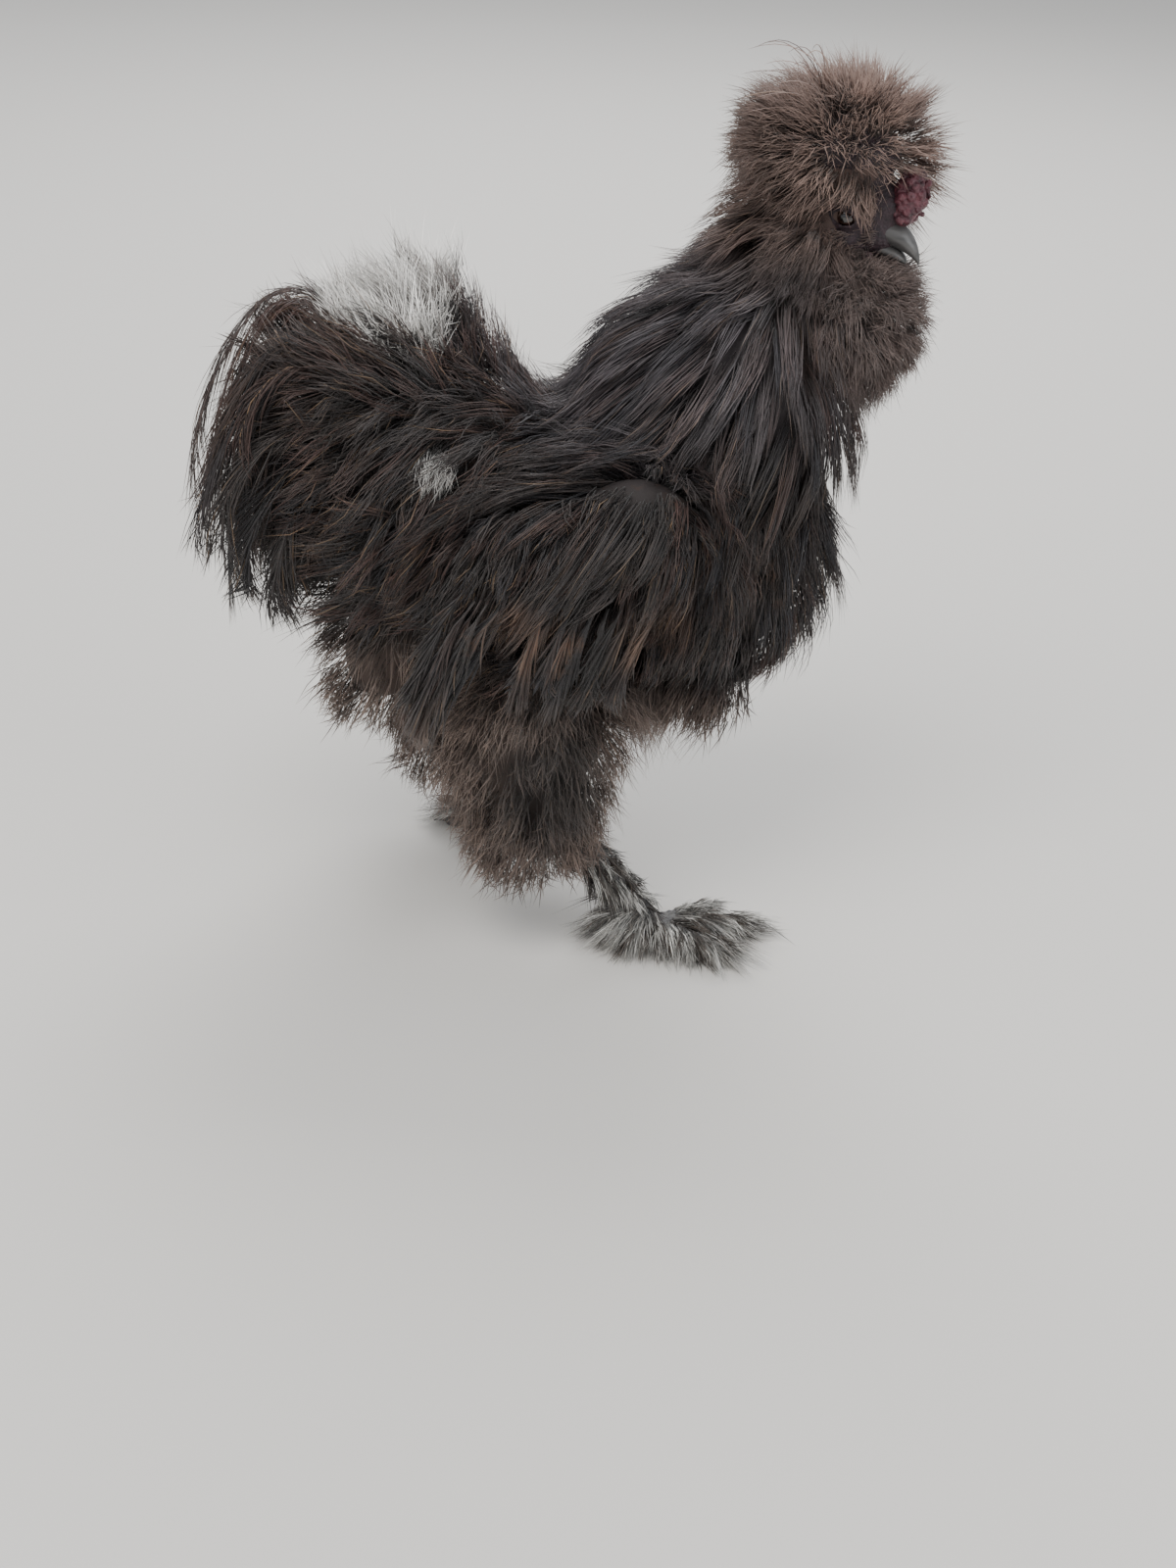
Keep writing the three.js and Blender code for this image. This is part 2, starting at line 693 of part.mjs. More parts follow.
// Toes: the third is the longest; the first points back and the fifth rises beside it.
const toes = [
  { turn: 172, length: 17, rise: 0 },
  { turn: -30, length: 31, rise: 0 },
  { turn: -3, length: 39, rise: 0 },
  { turn: 30, length: 31, rise: 0 },
  { turn: -148, length: 16, rise: 11 },
];
const toeRadius = 3.4;
const ballHeight = 4.2;
const footYaw = { right: 0, left: -6 };
const outwards = (side, turn) => vec(Math.cos(radians(turn)), side * Math.sin(radians(turn)), 0);
function toePoint(ball, way, toe, share) {
  const p = ball.clone().addScaledVector(way, mix(3, toe.length, share));
  const lift = toe.rise > 0 ? 3 + toe.rise * share : 0;
  return p.setZ(mix(toeRadius + 0.2, toeRadius - 0.9, share) + 0.8 * Math.sin(Math.PI * share) + lift);
}
function makeLeg(name, side, ankle) {
  const hock = [ankle[0] - (name === "right" ? 40 : 14), side * legSpread, 58];
  const claws = toes.map((_, i) => makeNode(`claw_${name}_${i + 1}`));
  const shank = makeNode("shank_" + name);
  const foot = makeNode("foot_" + name);
  const steps = 5;
  const along = Array.from({ length: steps + 1 }, (_, i) => {
    const share = i / steps;
    return [mix(hock[0], ankle[0], share), mix(hock[1], ankle[1], share), mix(hock[2], ankle[2] - 3, share)];
  });
  addSolid(shank, limb(along.slice(0, steps), [7, 6, 5.2, 4.9, 5.2], 6));
  addSolid(foot, limb(along.slice(steps - 1), [5.6, 6.2], 6));
  const ball = vec(ankle[0] + 2, ankle[1], ballHeight);
  addSolid(foot, (grow) => {
    const pad = new THREE.SphereGeometry(1, 7, 4).scale(8 + grow, 7.5 + grow, 5.4 + grow);
    return solid(pad.translate(ball.x, ball.y, ball.z));
  });
  const knuckles = 2;
  const ways = toes.map((toe) => outwards(side, toe.turn + footYaw[name]));
  toes.forEach((toe, i) => {
    const shares = Array.from({ length: knuckles + 1 }, (_, k) => k / knuckles);
    const points = shares.map((share) => toePoint(ball, ways[i], toe, share).toArray());
    addSolid(foot, limb(points, [toeRadius + 0.4, toeRadius - 0.1, toeRadius - 0.9], 6));
    const tip = vec(...points[knuckles]);
    const hook = [0, 4, 8].map((d) => {
      const fall = toe.rise > 0 ? 0.5 * d : -0.028 * d * d;
      return tip.clone().addScaledVector(ways[i], d).add(vec(0, 0, 0.9 + fall)).toArray();
    });
    addSolid(claws[i], limb(hook, [2.1, 1.5, 0.8], 5));
  });
  return { shank, foot, ball, along, ways, side, yaw: footYaw[name] };
}

// Leg feathering: locks stand off the outer side of the shank, and fan out from the foot's outer side
// and the two outer toes, down to the floor.
const shankLocks = 4;
const footRows = [
  { toe: 2, from: 0.35, to: 0.75, locks: 2, turn: [24, 14], length: 28 },
  { toe: 3, from: 0.25, to: 0.85, locks: 3, turn: [80, 50], length: 25 },
];
const heelTurns = [112, 150];
function featherLeg(leg) {
  const { side } = leg;
  for (let i = 0; i < shankLocks; i += 1) {
    const root = vec(...leg.along[1 + (i % 4)]);
    const turn = mix(60, 150, ((i * 2) % shankLocks) / (shankLocks - 1));
    addFreeLock(leg.shank, root, outwards(side, turn).add(vec(0, 0, -0.3)), 26, 11, 14);
  }
  for (const row of footRows) {
    for (let i = 0; i < row.locks; i += 1) {
      const share = i / (row.locks - 1);
      const root = toePoint(leg.ball, leg.ways[row.toe], toes[row.toe], mix(row.from, row.to, share));
      root.z += 1;
      const turn = mix(row.turn[0], row.turn[1], share) + leg.yaw;
      addFreeLock(leg.foot, root, outwards(side, turn).add(vec(0, 0, 0.28)), row.length, 8, 1.4);
    }
  }
  for (const turn of heelTurns) {
    const root = leg.ball.clone().addScaledVector(outwards(side, turn), 4).setZ(6);
    addFreeLock(leg.foot, root, outwards(side, turn).add(vec(0, 0, 0.2)), 26, 8, 1.4);
  }
}
function addFreeLock(node, root, start, length, width, floor) {
  const steps = 3;
  const way = start.clone().normalize();
  const path = [root.clone()];
  for (let i = 1; i <= steps; i += 1) {
    const next = path[i - 1].clone().addScaledVector(way, (length / steps) * vary(0.05));
    next.z = Math.max(next.z, floor);
    path.push(next);
    way.add(vec(0, 0, -0.3)).normalize();
  }
  layLock(node, root, path, path.map(() => vec(0, 0, 1)), width, 2.2);
}

// The order is from the outermost node to the innermost: each is cut clear of those before it.
makeComb();
makeBill();
makeEyes();
makeWattles();
makeHead();
makeCrest();
makeBeard();
makeNeck();
makeSaddle();
makeTail();
makeWing("right", -1);
makeWing("left", 1);
makeThigh("right");
makeThigh("left");
featherLeg(makeLeg("right", -1, rightAnkle));
featherLeg(makeLeg("left", 1, leftAnkle));
makeTorso();

const finishes = {
  comb: [0x6e2431, 0.55],
  beak: [0x5f5f60, 0.45],
  eye: [0x0c0908, 0.1],
  wattle: [0x4c2233, 0.6],
  earlobe: [0x35525a, 0.6],
  claw: [0x6b665f, 0.5],
  foot: [0x8b8580, 0.8],
  shank: [0x8b8580, 0.8],
};
const plumage = [0x352c2a, 0.85];

// The part of the world under the floor, which flattens the soles
const floorSlab = solid(new THREE.BoxGeometry(600, 400, 40).translate(0, 0, -20));

function joined(pieces) {
  return pieces.length === 1 ? pieces[0] : wasm.Manifold.union(pieces);
}
function largest(body) {
  return body.decompose().reduce((a, b) => (b.volume() > a.volume() ? b : a));
}
function geometryOf(body) {
  const mesh = body.getMesh();
  const place = new Float32Array(mesh.numVert * 3);
  for (let i = 0; i < mesh.numVert; i += 1) {
    place.set(mesh.vertProperties.subarray(i * mesh.numProp, i * mesh.numProp + 3), i * 3);
  }
  const geometry = new THREE.BufferGeometry();
  geometry.setAttribute("position", new THREE.BufferAttribute(place, 3));
  geometry.setIndex(new THREE.BufferAttribute(mesh.triVerts, 1));
  return geometry;
}
// Rounds the points to a fine grid, joins those that meet there, and drops what that cuts loose
const grid = 0.01;
function settled(body) {
  const geometry = geometryOf(largest(body));
  const place = geometry.getAttribute("position");
  for (let i = 0; i < place.array.length; i += 1) place.array[i] = Math.round(place.array[i] / grid) * grid;
  return largest(solid(geometry, grid / 10));
}
function overlapping(a, b) {
  return [0, 1, 2].every((i) => a.min[i] < b.max[i] && b.min[i] < a.max[i]);
}

const bird = new THREE.Group();
bird.name = "silkie_cockerel";
const done = [];
for (const node of nodes) {
  let body = joined(node.pieces).subtract(floorSlab);
  const box = body.boundingBox();
  for (const outer of done) {
    if (overlapping(box, outer.box)) body = body.subtract(outer.clearance);
  }
  const clearance = joined(node.clearances);
  done.push({ clearance, box: clearance.boundingBox() });
  const geometry = geometryOf(settled(body));
  geometry.computeVertexNormals();
  const [color, roughness] = finishes[node.name.split("_")[0]] ?? plumage;
  const piece = new THREE.Mesh(geometry, new THREE.MeshStandardMaterial({ color, roughness, metalness: 0 }));
  piece.name = node.name;
  bird.add(piece);
}

export default bird;
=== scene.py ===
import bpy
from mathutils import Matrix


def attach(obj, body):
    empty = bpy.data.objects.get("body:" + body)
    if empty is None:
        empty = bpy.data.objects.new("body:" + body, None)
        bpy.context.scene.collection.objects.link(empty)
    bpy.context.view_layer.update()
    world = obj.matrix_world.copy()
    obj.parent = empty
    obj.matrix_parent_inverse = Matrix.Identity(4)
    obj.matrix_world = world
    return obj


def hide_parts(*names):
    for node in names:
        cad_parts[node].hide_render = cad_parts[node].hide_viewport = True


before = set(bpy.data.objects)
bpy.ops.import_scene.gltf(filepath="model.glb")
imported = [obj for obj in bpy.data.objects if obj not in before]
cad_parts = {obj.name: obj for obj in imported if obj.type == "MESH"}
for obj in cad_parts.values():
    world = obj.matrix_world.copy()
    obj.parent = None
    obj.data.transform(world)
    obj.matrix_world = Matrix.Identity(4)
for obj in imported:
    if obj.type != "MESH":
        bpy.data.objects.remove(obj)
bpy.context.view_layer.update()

import bmesh
import bpy
import numpy as np
from mathutils import Matrix, Vector

# A silkie cockerel as a still, life-size model. The forms below are in millimetres in the frame's
# axes, and meshes are made in metres. +X is forward, +Y is the bird's left, +Z is up.
MM = 0.001
SIDES = (("right", -1), ("left", 1))
rng = np.random.default_rng(11)


# Forms
def turned(pitch, turn):
    """The rotation that pitches the nose up and then turns about Z, in degrees."""
    p, t = np.radians([pitch, turn])
    nose = np.array([[np.cos(p), 0, -np.sin(p)], [0, 1, 0], [np.sin(p), 0, np.cos(p)]])
    yaw = np.array([[np.cos(t), -np.sin(t), 0], [np.sin(t), np.cos(t), 0], [0, 0, 1]])
    return yaw @ nose


HEAD_TURN, HEAD_NOD = -20, 12
SKULL = np.array([101.6, 0, 309.6])
HEAD = turned(-HEAD_NOD, HEAD_TURN)


def in_head(*p):
    """A point of the head's own frame: x along the beak, y to the bird's left, z to the crown."""
    return np.asarray(p, float) @ HEAD.T + SKULL


def to_head(p):
    return (p - SKULL) @ HEAD


def head_way(*d):
    return np.asarray(d, float) @ HEAD.T


def lobe(x, y, z, rx, ry, rz, pitch=0, turn=0):
    return (np.array([x, y, z], float), turned(pitch, turn), np.array([rx, ry, rz], float))


def head_lobe(x, y, z, rx, ry, rz):
    return (in_head(x, y, z), HEAD, np.array([rx, ry, rz], float))


def lobe_field(p, one):
    centre, frame_, radii = one
    q = (p - centre) @ frame_
    near = np.linalg.norm(q / radii, axis=1)
    slope = np.linalg.norm(q / radii**2, axis=1)
    return near * (near - 1) / np.maximum(slope, 1e-9)


def blended(values, width):
    """Fields that run into each other over the width."""
    out = values[0]
    for other in values[1:]:
        h = np.maximum(width - np.abs(out - other), 0) / width
        out = np.minimum(out, other) - h * h * width / 4
    return out


LEG_SPREAD = 42
FORMS = {
    "torso": (
        18,
        lobe(16, 0, 168, 82, 60, 55, 6),
        lobe(72, 0, 172, 38, 48, 56),
        lobe(-46, 0, 176, 40, 44, 44),
        lobe(-66, 4, 122, 25, 32, 37, -20),
    ),
    "neck": (
        14,
        lobe(62, 0, 244, 51, 43, 33, 42),
        lobe(82, 0, 232, 35, 43, 40),
        lobe(89, -1, 289, 21, 22, 27),
    ),
    "head": (6, head_lobe(4, 0, 2, 17, 15, 15), head_lobe(18, 0, -2, 13, 9.5, 9.5)),
    "crest": (1, lobe(105, 3, 332, 29, 27, 16, -4)),
    "beard": (1, lobe(117, -6, 268, 18, 18, 19)),
    "saddle": (14, lobe(-40, 0, 208, 40, 42, 28, -6), lobe(-52, 0, 232, 22, 28, 26)),
    "tail": (14, lobe(-80, 0, 216, 27, 27, 32, 25), lobe(-88, 0, 190, 20, 24, 28)),
}
for name, side, dx in (("right", -1, 0), ("left", 1, -40)):
    FORMS["muff_" + name] = (1, head_lobe(-1, side * 17, -13, 10, 8, 10))
    FORMS["wing_" + name] = (
        10,
        lobe(2, side * 57, 180, 50, 18, 26, 14, side * 4),
        lobe(34, side * 52, 188, 30, 19, 30),
    )
    FORMS["thigh_" + name] = (
        16,
        lobe(-5 + dx, side * (LEG_SPREAD + 2), 100, 33, 26, 34),
        lobe(-3 + dx, side * LEG_SPREAD, 62, 22, 19, 28),
    )
NAMES = list(FORMS)

# How far the flesh lies inside each form
DEPTH = {
    "torso": 5, "neck": 5, "head": 0.3, "crest": 4, "beard": 3.5, "saddle": 5, "tail": 4.5,
    "muff": 3, "wing": 4.5, "thigh": 4,
}


def depth_of(name):
    return DEPTH[name.split("_")[0]]


def form_fields(p):
    """Every form's own field at the points, one row a form."""
    rows = [blended([lobe_field(p, one) for one in FORMS[n][1:]], FORMS[n][0]) for n in NAMES]
    return np.array(rows)


def body_field(p):
    return blended(list(form_fields(p)), 10)


def slopes(field, p, e=0.5):
    """The unit slope of a field at the points."""
    out = np.empty_like(p)
    for axis in range(3):
        step = np.zeros(3)
        step[axis] = e
        out[:, axis] = field(p + step) - field(p - step)
    return out / np.maximum(np.linalg.norm(out, axis=1, keepdims=True), 1e-9)


def unit(v):
    return v / np.maximum(np.linalg.norm(v, axis=-1, keepdims=True), 1e-9)


def clamp(x):
    return np.clip(x, 0, 1)


def mix(a, b, t):
    return a + (b - a) * t


# Meshes
def placed(name, data):
    """An object of the data, in the scene."""
    obj = bpy.data.objects.new(name, data)
    bpy.context.scene.collection.objects.link(obj)
    return obj


def dress(obj, material, replaced=()):
    """Gives a piece its material and the solids that it stands for."""
    obj.data.materials.append(material)
    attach(obj, "root")
    if replaced:
        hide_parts(*replaced)


def make_mesh(name, points, quads, tris):
    """A mesh object from arrays of points in millimetres and of quads and triangles."""
    mesh = bpy.data.meshes.new(name)
    loops = np.concatenate([quads.reshape(-1), tris.reshape(-1)]).astype(np.int32)
    sizes = np.concatenate([np.full(len(quads), 4), np.full(len(tris), 3)])
    starts = (np.cumsum(sizes) - sizes).astype(np.int32)
    mesh.vertices.add(len(points))
    mesh.vertices.foreach_set("co", (points * MM).astype(np.float32).ravel())
    mesh.loops.add(len(loops))
    mesh.loops.foreach_set("vertex_index", loops)
    mesh.polygons.add(len(sizes))
    mesh.polygons.foreach_set("loop_start", starts)
    mesh.polygons.foreach_set("use_smooth", np.ones(len(sizes), bool))
    mesh.update(calc_edges=True)
    return placed(name, mesh)


EMPTY = np.zeros((0, 3), int)
EDGES = [
    ((0, 0, 0), 0), ((0, 1, 0), 0), ((0, 0, 1), 0), ((0, 1, 1), 0),
    ((0, 0, 0), 1), ((1, 0, 0), 1), ((0, 0, 1), 1), ((1, 0, 1), 1),
    ((0, 0, 0), 2), ((1, 0, 0), 2), ((0, 1, 0), 2), ((1, 1, 0), 2),
]
GRID_BATCH = 200000


def cell_corner(values, corner, cells):
    """The values at one corner of every cell."""
    return values[tuple(slice(c, c + n) for c, n in zip(corner, cells))]


def surface_net(field, low, high, step):
    """Points and quads of the surface where a field is zero, one point a crossed cell."""
    low, high = np.asarray(low, float), np.asarray(high, float)
    count = np.ceil((high - low) / step).astype(int) + 1
    axes = [low[i] + step * np.arange(count[i]) for i in range(3)]
    grid = np.stack(np.meshgrid(*axes, indexing="ij"), -1).reshape(-1, 3)
    batches = np.array_split(grid, max(1, len(grid) // GRID_BATCH))
    v = np.concatenate([field(part) for part in batches]).reshape(count)
    cells = count - 1
    total = np.zeros((*cells, 3))
    hits = np.zeros(cells)
    for corner, axis in EDGES:
        shift = list(corner)
        shift[axis] += 1
        a, b = cell_corner(v, corner, cells), cell_corner(v, shift, cells)
        crossed = (a < 0) != (b < 0)
        at = [np.full(cells, float(c)) for c in corner]
        at[axis] = np.where(crossed, a / np.where(a == b, 1, a - b), 0)
        total += np.stack(at, -1) * crossed[..., None]
        hits += crossed
    live = hits > 0
    index = np.full(cells, -1)
    index[live] = np.arange(live.sum())
    points = low + step * (np.argwhere(live) + total[live] / hits[live][:, None])
    quads = []
    for axis in range(3):
        one, two = (axis + 1) % 3, (axis + 2) % 3
        here = [slice(0, n) for n in v.shape]
        there = list(here)
        here[axis], there[axis] = slice(0, v.shape[axis] - 1), slice(1, v.shape[axis])
        crossed = (v[tuple(here)] < 0) != (v[tuple(there)] < 0)
        spots = np.argwhere(crossed)
        spots = spots[(spots[:, one] > 0) & (spots[:, two] > 0)]
        spots = spots[(spots[:, one] < cells[one]) & (spots[:, two] < cells[two])]
        inside = v[tuple(spots.T)] < 0
        around = []
        for d1, d2 in ((-1, -1), (0, -1), (0, 0), (-1, 0)):
            cell = spots.copy()
            cell[:, one] += d1
            cell[:, two] += d2
            around.append(index[tuple(cell.T)])
        quad = np.stack(around, 1)
        quads.append(np.where(inside[:, None], quad, quad[:, ::-1]))
    for _ in range(2):
        points -= slopes(field, points, step / 4) * np.clip(field(points), -step, step)[:, None] * 0.9
    return points, np.concatenate(quads)


# Skin
def skin_core(p):
    rows = form_fields(p)
    return blended([row + depth_of(n) for row, n in zip(rows, NAMES)], 14)


def capsule(p, a, b, ra, rb):
    """Distance to a limb that tapers between two points."""
    a, b = np.asarray(a, float), np.asarray(b, float)
    t = clamp((p - a) @ (b - a) / ((b - a) @ (b - a)))
    return np.linalg.norm(p - (a + t[:, None] * (b - a)), axis=1) - mix(ra, rb, t)


def egg(p, centre, radii, scale):
    """The field of an ellipsoid, sized by the scale."""
    return np.linalg.norm((p - centre) / radii, axis=1) * scale - scale


EYE = np.array([11.5, 10.8, 3.4])
EYE_RADIUS = 4.4
COMB_AT = (30.5, 0, 14.5)
COMB_SIZE = (8.5, 8, 13)


def head_skin(p):
    """The face: skull, lids round each eye, the brow over it and the corner of the mouth."""
    q = to_head(p)
    m = q * [1, 0, 1] + np.abs(q) * [0, 1, 0]
    skull = lobe_field(p, FORMS["head"][1])
    muzzle = lobe_field(p, FORMS["head"][2])
    crown = lobe_field(p, FORMS["crest"][1]) + depth_of("crest")
    chin = lobe_field(p, FORMS["beard"][1]) + depth_of("beard") + 2
    nape = lobe_field(p, FORMS["neck"][3]) + depth_of("neck") - 3
    brow_bone = egg(m, [21, 0, 10], [10, 8, 8], 8)
    f = blended([skull, muzzle, brow_bone], 6)
    f = blended([f, crown], 8)
    f = blended([f, chin, nape], 10)
    e = m - EYE
    lid = np.linalg.norm(e * [0.94, 1, 1.04], axis=1) - (EYE_RADIUS + 1.0)
    f = blended([f, lid], 2.4)
    brow = egg(m, EYE + [0.5, 0.6, 5.4], [5.6, 2.2, 1.9], 1.9)
    f = blended([f, brow], 2)
    cheek = egg(m, [12, 9.5, -6], [8, 4, 4.2], 4)
    f = blended([f, cheek], 3)
    ball = np.linalg.norm(e, axis=1) - (EYE_RADIUS + 0.12)
    slit = np.maximum(np.hypot(e[:, 0] / 4.2, (e[:, 2] + 0.3) / 2.6) * 2.6 - 2.6, 0.5 - e[:, 1])
    f = np.maximum(f, -np.minimum(ball, slit))
    gape = egg(m, [17.5, 7.6, -5.2], [5, 3.5, 0.8], 0.8)
    return np.maximum(f, -gape)


ANKLES = {"right": (46, -38, 13), "left": (-30, 47, 13)}
TOES = [(172, 17, 0), (-30, 31, 0), (-3, 39, 0), (30, 31, 0), (-148, 16, 11)]
FOOT_YAW = {"right": 0, "left": -6}
TOE_RADIUS = 3.4
BALL_HEIGHT = 4.2


def outwards(side, turn):
    a = np.radians(turn)
    return np.array([np.cos(a), side * np.sin(a), 0])


def toe_point(ball, way, toe, share):
    """A point of a toe's middle line, which lifts a little between its pads."""
    _, length, rise = toe
    p = ball + way * mix(3, length, share)
    lift = 3 + rise * share if rise else 0
    p[2] = mix(TOE_RADIUS + 0.2, TOE_RADIUS - 0.9, share) + 0.8 * np.sin(np.pi * share) + lift
    return p


def leg_parts(name):
    side = -1 if name == "right" else 1
    ankle = np.array(ANKLES[name], float)
    hock = np.array([ankle[0] - (40 if name == "right" else 14), side * LEG_SPREAD, 58])
    ball = np.array([ankle[0] + 2, ankle[1], BALL_HEIGHT])
    ways = [outwards(side, turn + FOOT_YAW[name]) for turn, _, _ in TOES]
    return side, ankle, hock, ball, ways


def leg_skin(name):
    side, ankle, hock, ball, ways = leg_parts(name)

    def field(p):
        low = ankle - [0, 0, 3]
        f = capsule(p, hock, low, 6.4, 4.9)
        f = blended([f, egg(p, ball, [8, 7.5, 5.4], 5.4)], 4)
        for toe, way in zip(TOES, ways):
            line = [toe_point(ball, way, toe, s) for s in (0, 0.33, 0.66, 1)]
            radii = (TOE_RADIUS + 0.3, TOE_RADIUS, TOE_RADIUS - 0.3, TOE_RADIUS - 0.8)
            ends = zip(line, line[1:], radii, radii[1:])
            one = np.min([capsule(p, *pair) for pair in ends], axis=0)
            along = (p - ball) @ way
            one = one + 0.28 * np.cos(2 * np.pi * along / 3.4) * (p[:, 2] > line[1][2] - 0.5)
            f = blended([f, one], 2)
        return np.maximum(f, 0.02 - p[:, 2])

    return field


def skin_parts():
    body = surface_net(skin_core, (-112, -78, 40), (136, 78, 350), 3.4)
    parts = [(*body, 0)]
    parts.append((*surface_net(head_skin, SKULL + [-26, -34, -30], SKULL + [36, 26, 36], 0.75), 1))
    for name, _ in SIDES:
        _, ankle, hock, _, _ = leg_parts(name)
        low = (min(hock[0], ankle[0]) - 24, ankle[1] - 32, -1)
        high = (max(hock[0], ankle[0]) + 46, ankle[1] + 32, 64)
        parts.append((*surface_net(leg_skin(name), low, high, 1.15), 2))
    return parts


# Coat
def along_path(paths, share):
    """Points along paths of even steps, one share for each path and ring."""
    steps = paths.shape[1] - 1
    at = np.clip(share * steps, 0, steps - 1e-6)
    low = at.astype(int)
    rest = (at - low)[..., None]
    rows = np.arange(len(paths))[:, None]
    return paths[rows, low] * (1 - rest) + paths[rows, low + 1] * rest


def given(value, roots):
    """A number for each root, from one number or from a function of the roots."""
    return value(roots) if callable(value) else np.full(len(roots), float(value))


def grow(roots, spec, steps=6):
    """Paths from roots on the skin. Each turns towards the lie as it goes, and rises through the coat
    to its height at the tip."""
    count = len(roots)
    slope = slopes(body_field, roots)
    length = given(spec["length"], roots) * rng.uniform(0.8, 1.15, count)
    rise = given(spec["rise"], roots)
    highest = rise + spec["limit"]
    rise = rise * rng.uniform(*spec["loft"], count)
    depth = np.maximum(-body_field(roots), 0)
    lowest = given(spec["floor"], roots) + rng.uniform(0, spec["ragged"] + 0.01, count)
    way = unit(spec["stand"] * slope + spec["lie"](roots))
    path = [roots]
    for i in range(1, steps + 1):
        share = i / steps
        way = unit(way + spec["turn"] * spec["lie"](path[-1]) + rng.normal(0, spec["stray"], (count, 3)))
        here = path[-1] + way * (length / steps)[:, None]
        slope = slopes(body_field, here)
        height = body_field(here)
        least = mix(-depth, rise, share ** spec["curve"])
        here = here + slope * np.maximum(least - height, 0)[:, None]
        most = mix(-depth, highest, share**0.35)
        here = here + slope * np.minimum(most - height, 0)[:, None] * (height > most)[:, None]
        here[:, 2] = np.maximum(here[:, 2], np.minimum(lowest, path[-1][:, 2]))
        way = unit(here - path[-1])
        path.append(here)
    return np.stack(path, 1)


GROUND = 0.6


def strands(guides, spec):
    """Splits each guide into thin barbs. They leave it along its lower part, spread round it, close up
    towards its tip and curl with it."""
    many, rings = spec["strands"], spec["rings"]
    count = len(guides) * many
    base = np.repeat(guides, many, axis=0)
    reach = rng.uniform(spec["shortest"], 1.0, count)
    start = rng.uniform(0, spec["leave"], count)
    s = np.linspace(0, 1, rings + 1)[None, :]
    shares = start[:, None] + (reach - start)[:, None] * s
    line = along_path(base, shares)
    way = unit(np.gradient(line, axis=1))
    out = slopes(body_field, line[:, rings // 2])[:, None, :] + [0, 0, 0.15]
    side = unit(np.cross(way, np.broadcast_to(out, way.shape)))
    up = np.cross(side, way)
    angle = rng.uniform(0, 2 * np.pi, count)
    far = spec["spread"] * np.sqrt(rng.uniform(0, 1, count))
    close = mix(1.0, spec["gather"], s)
    line = line + side * ((far * np.cos(angle))[:, None] * close)[..., None]
    line = line + up * ((far * np.sin(angle))[:, None] * close * 0.6)[..., None]
    s = s[..., None]
    curl = np.repeat(rng.normal(0, spec["curl"], (len(guides), 1, 3)), many, axis=0)
    wander = rng.normal(0, spec["frizz"], (count, 1, 3))
    wave = rng.normal(0, spec["frizz"] * 0.5, (count, 1, 3))
    line = line + curl * shares[..., None] ** 2.5 + wander * s**1.5 + wave * np.sin(np.pi * 2 * s) * s
    line[..., 2] = np.maximum(line[..., 2], GROUND)
    return line, side, np.repeat(np.arange(len(guides)), many)


def blades(lines, sides, width):
    """Three-sided tapered blades along the lines: points, quads, triangles and each point's share."""
    count, rings = lines.shape[0], lines.shape[1] - 1
    way = unit(np.gradient(lines, axis=1))
    side = unit(sides - way * (sides * way).sum(-1, keepdims=True))
    up = np.cross(side, way)
    share = np.linspace(0, 1, rings + 1)[:rings]
    half = (width.reshape(-1, 1) / 2 * (0.8 + 0.5 * share - 0.95 * share**2))[..., None]
    line, across = lines[:, :rings], side[:, :rings] * half
    ring = np.stack([line - across, line + up[:, :rings] * half * 0.9, line + across], 2)
    points = np.concatenate([ring.reshape(count, -1, 3), lines[:, -1:]], 1)
    each = rings * 3 + 1
    quad, tri = [], [[0, 2, 1]]
    for i in range(rings - 1):
        for j in range(3):
            a, b = i * 3 + j, i * 3 + (j + 1) % 3
            quad.append([a, b, b + 3, a + 3])
    last = (rings - 1) * 3
    for j in range(3):
        tri.append([last + j, last + (j + 1) % 3, each - 1])
    start = (np.arange(count) * each)[:, None, None]
    quads = (np.array(quad)[None] + start).reshape(-1, 4)
    tris = (np.array(tri)[None] + start).reshape(-1, 3)
    shares = np.concatenate([np.repeat(share, 3), [1.0]])
    return points.reshape(-1, 3), quads, tris, np.tile(shares, count), each


CELL = 1 / 4
PATCH = 0.003


def unwrap(roots):
    """A root's place on an unwrap of the skin: each form has a cell of its own, with the direction
    from the form's middle as longitude and latitude."""
    form = np.argmin(form_fields(roots), axis=0)
    middle = np.array([FORMS[n][1][0] for n in NAMES])[form]
    way = unit(roots - middle)
    u = np.arctan2(way[:, 1], way[:, 0]) / (2 * np.pi) + 0.5
    v = np.arcsin(np.clip(way[:, 2], -1, 1)) / np.pi + 0.5
    return np.stack([(form % 4 + 0.04 + 0.9 * u) * CELL, (form // 4 + 0.04 + 0.9 * v) * CELL], 1)


